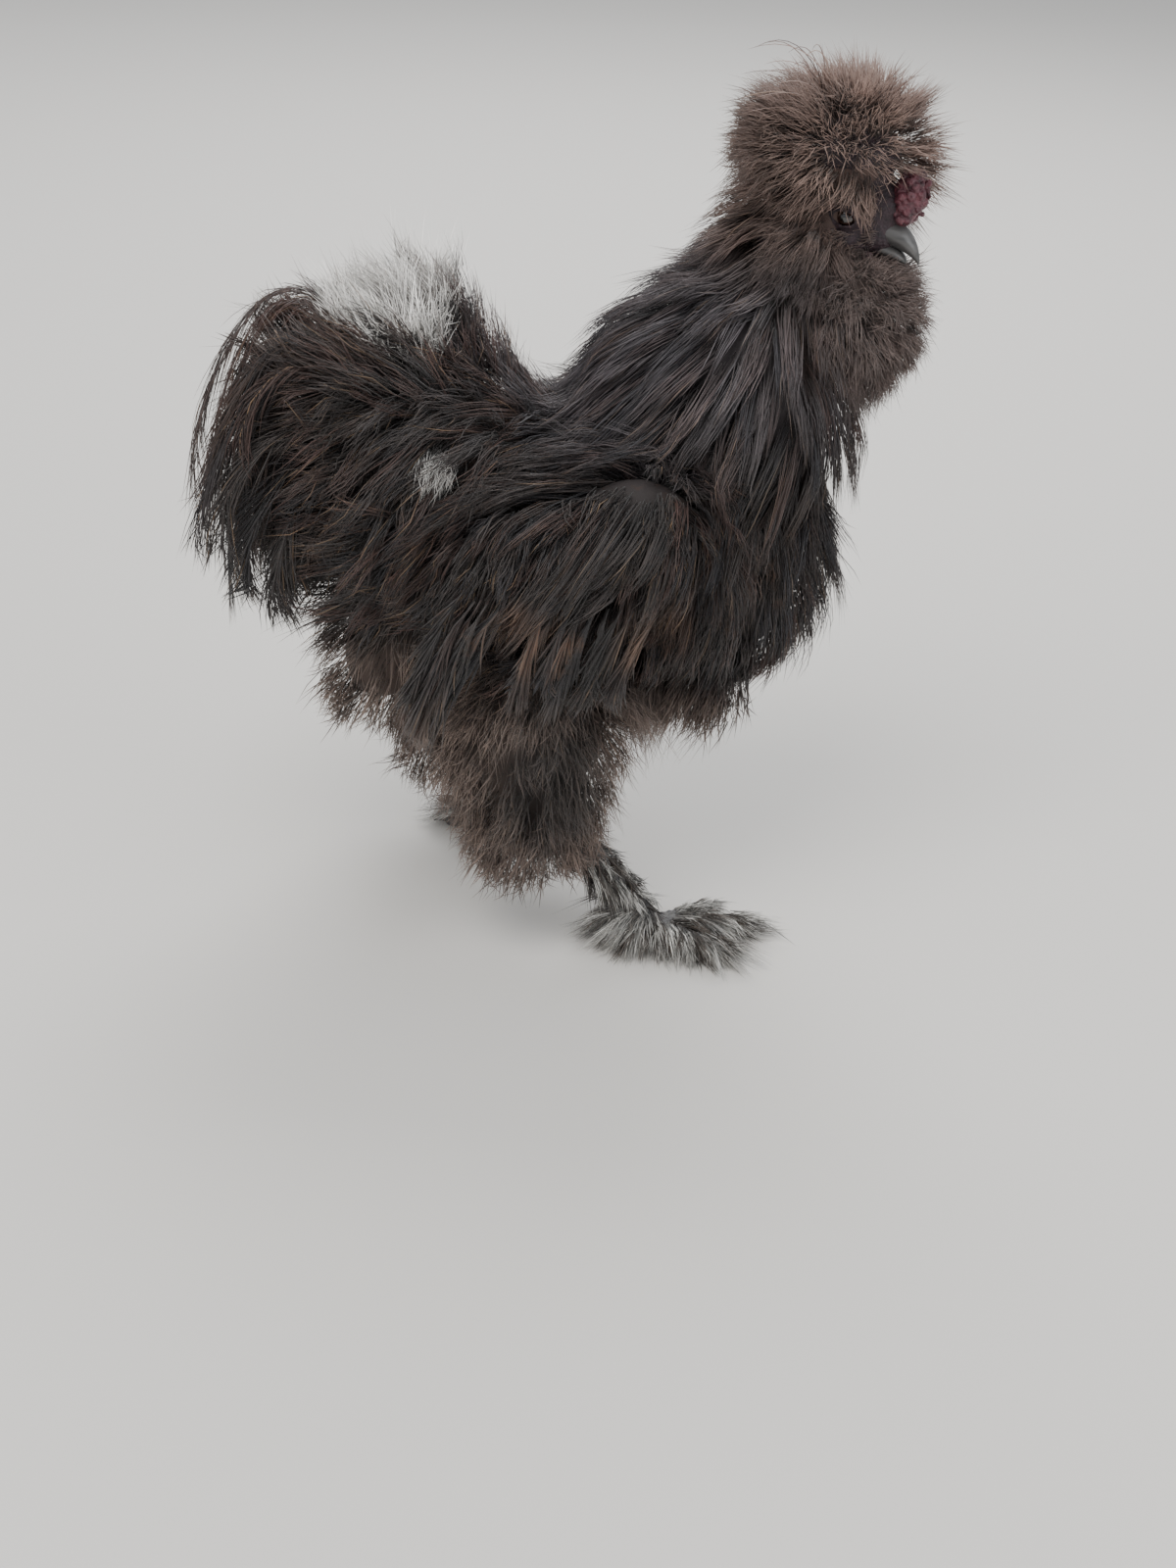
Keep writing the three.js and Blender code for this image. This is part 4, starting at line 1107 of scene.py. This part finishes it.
def coat_head():
    crest = take(REGIONS["crest"], z=(314, FAR))
    crest_sides = take(crest, z=(318, 346), wide=(20, FAR))
    coat(
        "crest_feathers", BROWNISH, "plumage_brown", (crest, 320, CREST), (crest_sides, 90, CREST_FILL),
        replaced=["crest"],
    )
    coat_piece("crest_streamers", [streamers()], DARK)
    bib, head = REGIONS["beard"], REGIONS["head"]
    coat(
        "beard_feathers", BROWNISH, "plumage_brown", (bib, 240, BEARD),
        (take(bib, z=(270, FAR)), 65, BEARD_TOP), replaced=["beard"],
    )
    q = to_head(head)
    coat(
        "face_feathers", BROWNISH, "plumage_brown",
        (take(head, (4, 24), (-FAR, -7), at=q), 90, CHIN),
        (face_roots(head), 190, CHEEK),
        (take(head, (8, 31), (6, FAR), (2, FAR), at=q), 110, BROW),
        (take(head, (10, 26), (-10, 2), (2, FAR), at=q), 80, LORE),
        *[(REGIONS["muff_" + name], 62, MUFF) for name, _ in SIDES],
        replaced=["muff_right", "muff_left"],
    )


def streamers():
    """Long thin plumes that sweep back from the top of the crest."""
    ends = [(70, 371), (79, 365), (66, 354), (63, 349), (88, 369), (74, 360)]
    paths = []
    for i, (x, z) in enumerate(ends * 3):
        across = rng.uniform(-14, 10)
        root = np.array([108 - rng.uniform(0, 12), across, 340])
        middle = np.array([mix(root[0], x, 0.35), across * 1.1, z + 9 - 3 * (i % 2)])
        paths.append(bezier(root, middle, np.array([x + rng.normal(0, 3), across * 1.3, z - 2]), 10))
    paths = np.array(paths)
    sides = unit(np.cross(np.gradient(paths, axis=1), np.array([0, 0, 1.0])))
    return paths, sides, np.full(len(paths), 0.9), paths[:, 0], rng.uniform(0, 1, len(paths))


# Tail plumes and wing quills
def bezier(a, b, c, steps):
    t = np.linspace(0, 1, steps + 1)[:, None]
    return (1 - t) ** 2 * a + 2 * t * (1 - t) * b + t**2 * c


# Each tier of plumes: reach, number, fan, bow and its side, tip and its side
TAIL_TIERS = [
    (0.1, 13, 60, (-112, 318), 34, (-151, 182), 42),
    (-0.3, 12, 66, (-128, 274), 44, (-150, 158), 52),
    (-0.6, 12, 76, (-128, 236), 50, (-138, 140), 54),
    (-0.9, 11, 84, (-118, 205), 50, (-118, 130), 50),
]
SIDE_DROP = 44
SIDE_LIFT = 20
TAIL_HEART = np.array([-95.0, 0, 190])


def tail_root(way):
    """Where a direction from the tail's middle leaves its flesh."""
    middle = np.array([-82.0, 0, 210])
    t = np.linspace(4, 60, 57)
    p = middle + t[:, None] * way
    row = NAMES.index("tail")
    outside = np.nonzero(form_fields(p)[row] > -6)[0]
    return p[outside[0]]


def tail_shafts():
    """The plumes' middle lines, tier by tier, some of them bowed less far out so that they fill the tail."""
    shafts = []
    for reach, plumes, fan, bow, bow_side, tip, tip_side in TAIL_TIERS:
        for i in range(plumes):
            share = 2 * i / (plumes - 1) - 1 + rng.uniform(-0.06, 0.06)
            angle = np.radians(share * fan)
            way = unit(np.array([reach + rng.uniform(-0.1, 0.1), np.sin(angle), np.cos(angle)]))
            root = tail_root(way)
            drop = SIDE_DROP * share**2
            middle = np.array([bow[0] + 8 * share**2, bow_side * share, bow[1] - drop]) + rng.normal(0, 3, 3)
            end = np.array([tip[0] * mix(1, 0.9, share**2), tip_side * share, tip[1] + SIDE_LIFT * share**2])
            end = end + rng.normal(0, 4, 3)
            inner = rng.uniform(0, 0.35) if i % 2 else 0
            middle, end = mix(middle, TAIL_HEART, inner), mix(end, TAIL_HEART, inner * 0.8)
            path = bezier(root, middle, end, 12)
            tuck = clamp((np.linspace(0, 1, 13) - 0.72) / 0.28) ** 2
            path[:, 0] += tuck * rng.uniform(0, 10)
            path[:, 0] = np.maximum(path[:, 0], -150)
            shafts.append(path)
    return np.array(shafts)


def plume_barbs(shafts, many, length, spread, heart, width):
    """Loose barbs that leave each shaft on both sides and trail along it, and the shafts themselves."""
    count = len(shafts) * many
    base = np.repeat(shafts, many, axis=0)
    start = np.tile(np.linspace(0.08, 0.96, many), len(shafts)) + rng.uniform(-0.01, 0.01, count)
    side = np.where(rng.uniform(0, 1, count) < 0.5, -1.0, 1.0)
    origin = along_path(base, start[:, None])[:, 0]
    reach = rng.uniform(*length, count) * np.where(start > 0.8, 0.75, 1)
    total = np.linalg.norm(np.diff(shafts, axis=1), axis=2).sum(1)
    ahead = np.minimum(start + reach / np.repeat(total, many), 1.0)
    s = np.linspace(0, 1, 4)[None, :]
    line = along_path(base, start[:, None] + (ahead - start)[:, None] * s)
    way = unit(line[:, -1] - line[:, 0])
    out = unit(origin - heart)
    across = unit(np.cross(way, out))
    s = s[..., None]
    line = line + across[:, None] * ((rng.uniform(*spread, count) * side)[:, None, None] * s**0.8)
    line = line + out[:, None] * (rng.normal(0, 1.8, count)[:, None, None] * s)
    curl = np.repeat(rng.normal(0, 2.5, (len(shafts), 1, 3)), many, axis=0)
    line = line + curl * s**2 + rng.normal(0, 1.6, (count, 1, 3)) * s**1.5
    line[..., 2] += -2.5 * s[..., 0] ** 2
    tint = rng.uniform(0, 1, len(shafts))
    flat = np.broadcast_to(across[:, None], line.shape)
    barbs = (line, flat, rng.uniform(*width, count), origin, np.repeat(tint, many))
    thin = along_path(shafts, np.broadcast_to(np.linspace(0, 1, 9), (len(shafts), 9)))
    flat = unit(np.cross(np.gradient(thin, axis=1), unit(thin - heart)))
    quills = (thin, flat, np.full(len(shafts), 1.1), shafts[:, 0], tint)
    return [barbs, quills]


def make_tail():
    made = plume_barbs(tail_shafts(), 90, (20, 36), (2.0, 10.0), TAIL_HEART, (0.45, 0.8))
    coat_piece("tail_plumes", made, SHAGGY, ["tail"])


PRIMARIES = [(-14, 84, 166), (-50, 83, 112)]
SECONDARIES = [(0, 85, 158), (44, 84, 156)]


def quill(root, tip, bow, side):
    """A shaft from root to tip on one side of the bird, bowed at its middle."""
    flip = [1, side, 1]
    middle = (root + tip) / 2 + bow
    return bezier(root * flip, middle * flip, tip * flip, 12)


def make_quills():
    """Primaries that hang from the folded wing's hind corner, and the frayed ends of the secondaries."""
    for name, side in SIDES:
        shafts = []
        for i in range(9):
            t = i / 8
            root = np.array(PRIMARIES[0]) + [-16 * t, -4 * t, 10 * t] + rng.normal(0, 1.5, 3)
            tip = np.array(PRIMARIES[1]) + [-8 * t + 4, 3 * t, 14 * t * t] + rng.normal(0, 2, 3)
            shafts.append(quill(root, tip, [-3, 3, 2], side))
        for i in range(10):
            root = mix(np.array(SECONDARIES[0]), np.array(SECONDARIES[1]), i / 9) + [0, -4, 14]
            tip = root + [-14 + rng.normal(0, 3), 2, -34 - rng.uniform(0, 6)]
            shafts.append(quill(root, tip, [-1, 4, 0], side))
        heart = np.array([10.0, side * 30, 170])
        made = plume_barbs(np.array(shafts), 60, (14, 24), (0.6, 3.4), heart, (0.8, 1.3))
        coat_piece("wing_quills_" + name, made, DARK)


coat_neck()
coat_trunk()
coat_rump()
coat_limbs()
coat_head()
make_tail()
make_quills()


# Head parts
def loft(name, rings, material, replaced):
    """A closed piece from rings of points, joined from root to tip."""
    rings = np.asarray(rings, float)
    count, sides = rings.shape[:2]
    points = np.concatenate([rings.reshape(-1, 3), [rings[0].mean(0)], [rings[-1].mean(0)]])
    root, end = len(points) - 2, len(points) - 1
    quads = []
    for i in range(count - 1):
        for j in range(sides):
            a, b = i * sides + j, i * sides + (j + 1) % sides
            quads.append([a, b, b + sides, a + sides])
    last = (count - 1) * sides
    tris = [[(j + 1) % sides, j, root] for j in range(sides)]
    tris += [[last + j, last + (j + 1) % sides, end] for j in range(sides)]
    dress(make_mesh(name, points, np.array(quads), np.array(tris)), material, replaced)


def smooth_rows(rows, count):
    """Rows of numbers resampled by a smooth curve through them."""
    rows = np.array(rows, float)
    t = np.linspace(0, len(rows) - 1, count)
    i = np.clip(t.astype(int), 0, len(rows) - 2)
    f = (t - i)[:, None]
    before, after = rows[np.maximum(i - 1, 0)], rows[np.minimum(i + 2, len(rows) - 1)]
    a, b = rows[i], rows[i + 1]
    return 0.5 * (2 * a + (b - before) * f + (2 * before - 5 * a + 4 * b - after) * f**2
                  + (3 * a - before - 3 * b + after) * f**3)


BEAK = horn("beak_horn", (0.012, 0.012, 0.014), (0.135, 0.13, 0.125), (50, 420, 420), 0.3)


# The bill's halves in rows: place along it, half width, half height, and height of the middle
BILL_ROWS = {
    "upper": [
        [16, 7.4, 5.8, 1.2], [23, 7, 5.5, 0.8], [33, 5.2, 4.6, -0.6],
        [38, 3.4, 3.3, -3], [41, 1.5, 1.9, -5.8], [42.4, 0.5, 0.8, -8.0],
    ],
    "lower": [
        [16, 6.3, 2.9, -6.0], [23, 6, 2.8, -6.2], [32, 4.2, 2.3, -7.1],
        [36, 2.4, 1.6, -8.3], [37.4, 0.8, 0.7, -9.2],
    ],
}


def round_angles(sides):
    return 2 * np.pi * np.arange(sides) / sides


def make_beak():
    a = round_angles(28)
    for half, rows in BILL_ROWS.items():
        rings = []
        for x, wide, tall, z in smooth_rows(rows, 26):
            y = wide * np.cos(a)
            high = tall * np.sin(a)
            if half == "upper":
                y = y * (1 - 0.12 * np.sin(a) ** 2)
            rings.append([in_head(x, yy, z + zz) for yy, zz in zip(y, high)])
        loft("bill_" + half, rings, BEAK, ["beak_" + half])


make_beak()


def ball_piece(name, centre, radii, material, replaced):
    """An ellipsoid along the head's axes."""
    mesh = bpy.data.meshes.new(name)
    bm = bmesh.new()
    bmesh.ops.create_uvsphere(bm, u_segments=32, v_segments=20, radius=1)
    bm.to_mesh(mesh)
    bm.free()
    mesh.transform(Matrix.Diagonal((*[r * MM for r in radii], 1)))
    mesh.transform(Matrix([list(row) + [0] for row in HEAD] + [[0, 0, 0, 1]]))
    mesh.transform(Matrix.Translation([c * MM for c in centre]))
    mesh.polygons.foreach_set("use_smooth", np.ones(len(mesh.polygons), bool))
    dress(placed(name, mesh), material, replaced)


def eye_material(label, sign, centre):
    """Iris and pupil by the angle from the eye's own axis."""
    material, tree, shader = new_material("eye_" + label)
    shift = vector_node(tree, "SUBTRACT", object_place(tree), centre * MM)
    axis = unit(head_way(0.1, sign, 0)) / (EYE_RADIUS * MM)
    pupil = ramp(tree, vector_node(tree, "DOT_PRODUCT", shift, axis), 0.90, 0.93, smooth=False)
    colour = mix_colour(tree, pupil, (0.020, 0.008, 0.005), (0.002, 0.002, 0.002))
    tree.links.new(colour, shader.inputs["Base Color"])
    tune(shader, Roughness=0.06, Coat_Weight=1.0, Coat_Roughness=0.03)
    return material


COMB = flesh("comb_flesh", (0.030, 0.009, 0.014), (0.145, 0.042, 0.056), 700, 0.42, 0.8, 0.0007)
LOBE = flesh("earlobe_skin", (0.05, 0.075, 0.085), (0.12, 0.17, 0.18), 700, 0.5)
WATTLE = flesh("wattle_skin", (0.035, 0.012, 0.018), (0.09, 0.032, 0.042), 800, 0.5)
for label, sign in SIDES:
    eye = in_head(EYE[0], sign * EYE[1], EYE[2])
    paint = eye_material(label, sign, eye)
    ball_piece("eyeball_" + label, eye, (EYE_RADIUS,) * 3, paint, ["eye_" + label])
    lobe_place = in_head(1.5, sign * 15, -3)
    ball_piece("lobe_" + label, lobe_place, (4.2, 2.2, 4.8), LOBE, ["earlobe_" + label])


def net_piece(name, field, middle, reach, step, material, replaced):
    """A piece on the surface of a field, within reach of its middle."""
    points, quads = surface_net(field, middle - reach, middle + reach, step)
    dress(make_mesh(name, points, quads, EMPTY), material, replaced)


def make_comb():
    count = 110
    golden = np.pi * (3 - np.sqrt(5))
    z = 1 - (2 * np.arange(count) + 1) / count
    r = np.sqrt(1 - z * z)
    a = golden * np.arange(count)
    ways = np.stack([r * np.cos(a), r * np.sin(a), z], 1)
    ways = ways[(ways[:, 0] > -0.6) & (ways[:, 2] > -0.7)]
    knobs = np.array(COMB_AT) + ways * (np.array(COMB_SIZE) - 2.2)
    knobs = knobs + rng.normal(0, 0.5, knobs.shape)
    sizes = rng.uniform(0.9, 2.2, len(knobs))

    def field(p):
        q = to_head(p)
        core = (q - COMB_AT) / (np.array(COMB_SIZE) - 1.8)
        f = (np.linalg.norm(core, axis=1) - 1) * 6.5
        near = [np.linalg.norm(q - k, axis=1) - s for k, s in zip(knobs, sizes)]
        f = blended([f, *near], 0.5)
        groove = np.abs(q[:, 1] - 0.9 * np.sin(q[:, 2] * 0.5)) - 0.8
        deep = (np.linalg.norm(core, axis=1) - 0.80) * 6.5
        return np.maximum(f, -np.maximum(groove, -deep))

    net_piece("comb_knobs", field, in_head(*COMB_AT), 16, 0.5, COMB, ["comb"])


make_comb()
for label, sign in SIDES:
    def wattle(p, sign=sign):
        q = to_head(p)
        one = (np.linalg.norm((q - [20, sign * 5.6, -13.5]) / [4.4, 2.2, 5.6], axis=1) - 1) * 2.6
        two = (np.linalg.norm((q - [23, sign * 5, -12]) / [2.6, 1.8, 3.4], axis=1) - 1) * 2.0
        return blended([one, two], 2)

    wattle_place = in_head(21, sign * 5.4, -13)
    net_piece("wattles_" + label, wattle, wattle_place, 9, 0.6, WATTLE, ["wattle_" + label])


CLAW = horn("claw_horn", (0.035, 0.033, 0.032), (0.13, 0.12, 0.11), (200, 200, 200), 0.35)


def make_claws():
    a = round_angles(14)
    up = np.array([0, 0, 1.0])
    for name, _ in SIDES:
        _, _, _, ball, ways = leg_parts(name)
        for i, (toe, way) in enumerate(zip(TOES, ways)):
            tip = toe_point(ball, way, toe, 1.0)
            side = np.cross(up, way)
            rings = []
            for d in np.linspace(-1.2, 8.6, 12):
                s = clamp((d + 1.2) / 9.8)
                fall = 0.5 * d if toe[2] else -0.028 * max(d, 0) ** 2
                centre = tip + way * d + up * (0.7 + fall)
                radius = mix(2.1, 0.35, s**1.2)
                rings.append([centre + side * radius * 0.85 * np.cos(t) + up * radius * np.sin(t) for t in a])
            rings = np.array(rings)
            rings[..., 2] = np.maximum(rings[..., 2], 0.15)
            loft(f"nail_{name}_{i + 1}", rings, CLAW, [f"claw_{name}_{i + 1}"])


make_claws()


# Feet
# Each fan of foot feathers: toe, shares along it, turns at its root and tip, length, tufts
FOOT_FANS = [
    (1, (0.3, 0.9), (-20, -8), 18, 26),
    (2, (0.15, 0.9), (36, 4), 33, 60),
    (3, (0.1, 0.95), (95, 40), 32, 74),
]


def foot_tufts(name):
    """Roots, ways and lengths of one leg's tufts: all round the shank, on the toes, and a fan that
    trails behind the foot on its outer side."""
    side, ankle, hock, ball, ways = leg_parts(name)
    tufts = []
    for _ in range(120):
        turn = rng.uniform(-120, 200)
        out = outwards(side, turn)
        down = unit(ankle - hock)
        out = unit(out - down * (out @ down))
        root = mix(hock, ankle - [0, 0, 2], rng.uniform(0.32, 0.95)) + out * 4.5
        tufts.append((root, out * 0.5 + down, rng.uniform(14, 22) * (1.3 if 60 < turn < 180 else 0.8)))
    for toe, shares, turns, length, many in FOOT_FANS:
        for _ in range(many):
            share = rng.uniform(0, 1)
            root = toe_point(ball, ways[toe], TOES[toe], mix(*shares, share)) + [0, 0, 1.5]
            turn = mix(*turns, share) + FOOT_YAW[name] + rng.normal(0, 11)
            way = outwards(side, turn) + [0, 0, rng.uniform(0, 0.75)]
            tufts.append((root, way, length * rng.uniform(0.7, 1.1)))
    for _ in range(80):
        turn = rng.uniform(80, 178)
        root = ball + outwards(side, turn) * 4 + [0, 0, rng.uniform(0, 9)]
        way = outwards(side, turn + rng.normal(0, 12)) + [0, 0, rng.uniform(0, 0.5)]
        tufts.append((root, way, rng.uniform(24, 38)))
    return [np.array(part) for part in zip(*tufts)]


FOOT_PAINT = coat_material(
    "foot_feathering", root=0.55, tip=1.25, warm=0.0, cold=0.45, glint=0.2, contrast=0.9, rough=0.55,
    paint=((0.60, 0.585, 0.55), (0.07, 0.058, 0.050), (0.35, 0.8)),
)


FOOT = dict(strands=16, spread=2.8, rings=2, gather=0.45, frizz=1.5, shortest=0.5, curl=2.5, leave=0.4)


def feather_feet():
    steps = 5
    for name, _ in SIDES:
        roots, way, lengths = foot_tufts(name)
        way = unit(way)
        path = [roots]
        for _ in range(steps):
            here = path[-1] + way * (lengths / steps)[:, None]
            here[:, 2] = np.maximum(here[:, 2], 0.9)
            path.append(here)
            way = unit(way + [0, 0, -0.28])
        guides = np.stack(path, 1)
        lines, sides, owner = strands(guides, FOOT)
        sides = unit(np.cross(np.gradient(lines, axis=1), np.array([0, 0, 1.0])) + 1e-6)
        clump = rng.uniform(0, 1, len(guides))[owner]
        made = [(lines, sides, rng.uniform(0.35, 0.65, len(lines)), roots[owner], clump)]
        coat_piece("foot_feathers_" + name, made, FOOT_PAINT)


feather_feet()


# Floor, light and camera
FLOOR_HALF = 9.0
# Each lamp's name, place, width, power and colour
LAMPS = (
    ("key", (-0.5, -1.1, 1.9), 1.2, 38, (1.0, 0.98, 0.95)),
    ("rim", (0.2, 1.5, 1.7), 1.4, 40, (1.0, 1.0, 1.0)),
    ("fill", (1.5, -0.9, 0.9), 1.2, 12, (0.96, 0.98, 1.0)),
)
LAMPS_AIM = Vector((0, 0, 0.18))
CAMERA_PLACE = (0.0195, -0.884, 0.516)
CAMERA_PITCH, CAMERA_ROLL = 27.7, 2.5
CAMERA_LENS = 51.75


def make_stage():
    mesh = bpy.data.meshes.new("floor")
    corners = [(x * FLOOR_HALF, y * FLOOR_HALF, 0) for x, y in ((-1, -1), (1, -1), (1, 1), (-1, 1))]
    mesh.from_pydata(corners, [], [(0, 1, 2, 3)])
    paint, _, shader = new_material("floor_paint")
    tune(shader, Base_Color=(0.62, 0.60, 0.57, 1), Roughness=0.8)
    mesh.materials.append(paint)
    placed("floor", mesh)
    world = bpy.data.worlds.new("studio")
    world.use_nodes = True
    tune(world.node_tree.nodes["Background"], Color=(0.93, 0.96, 1.0, 1), Strength=0.75)
    bpy.context.scene.world = world
    for name, place, size, power, colour in LAMPS:
        light = bpy.data.lights.new(name, "AREA")
        light.size = size
        light.energy = power
        light.color = colour
        lamp = placed(name, light)
        lamp.location = place
        lamp.rotation_euler = (Vector(place) - LAMPS_AIM).to_track_quat("Z", "Y").to_euler()


def make_camera():
    pitch, roll = np.radians([CAMERA_PITCH, CAMERA_ROLL])
    forward = np.array([0, np.cos(pitch), -np.sin(pitch)])
    flat = np.array([1.0, 0, 0])
    steep = np.cross(flat, forward)
    right = np.cos(roll) * flat + np.sin(roll) * steep
    up = np.cos(roll) * steep - np.sin(roll) * flat
    data = bpy.data.cameras.new("camera")
    data.lens = CAMERA_LENS
    camera = placed("camera", data)
    rows = [list(row) for row in zip(right, up, -forward, CAMERA_PLACE)]
    camera.matrix_world = Matrix(rows + [[0, 0, 0, 1]])
    bpy.context.scene.camera = camera


make_stage()
make_camera()
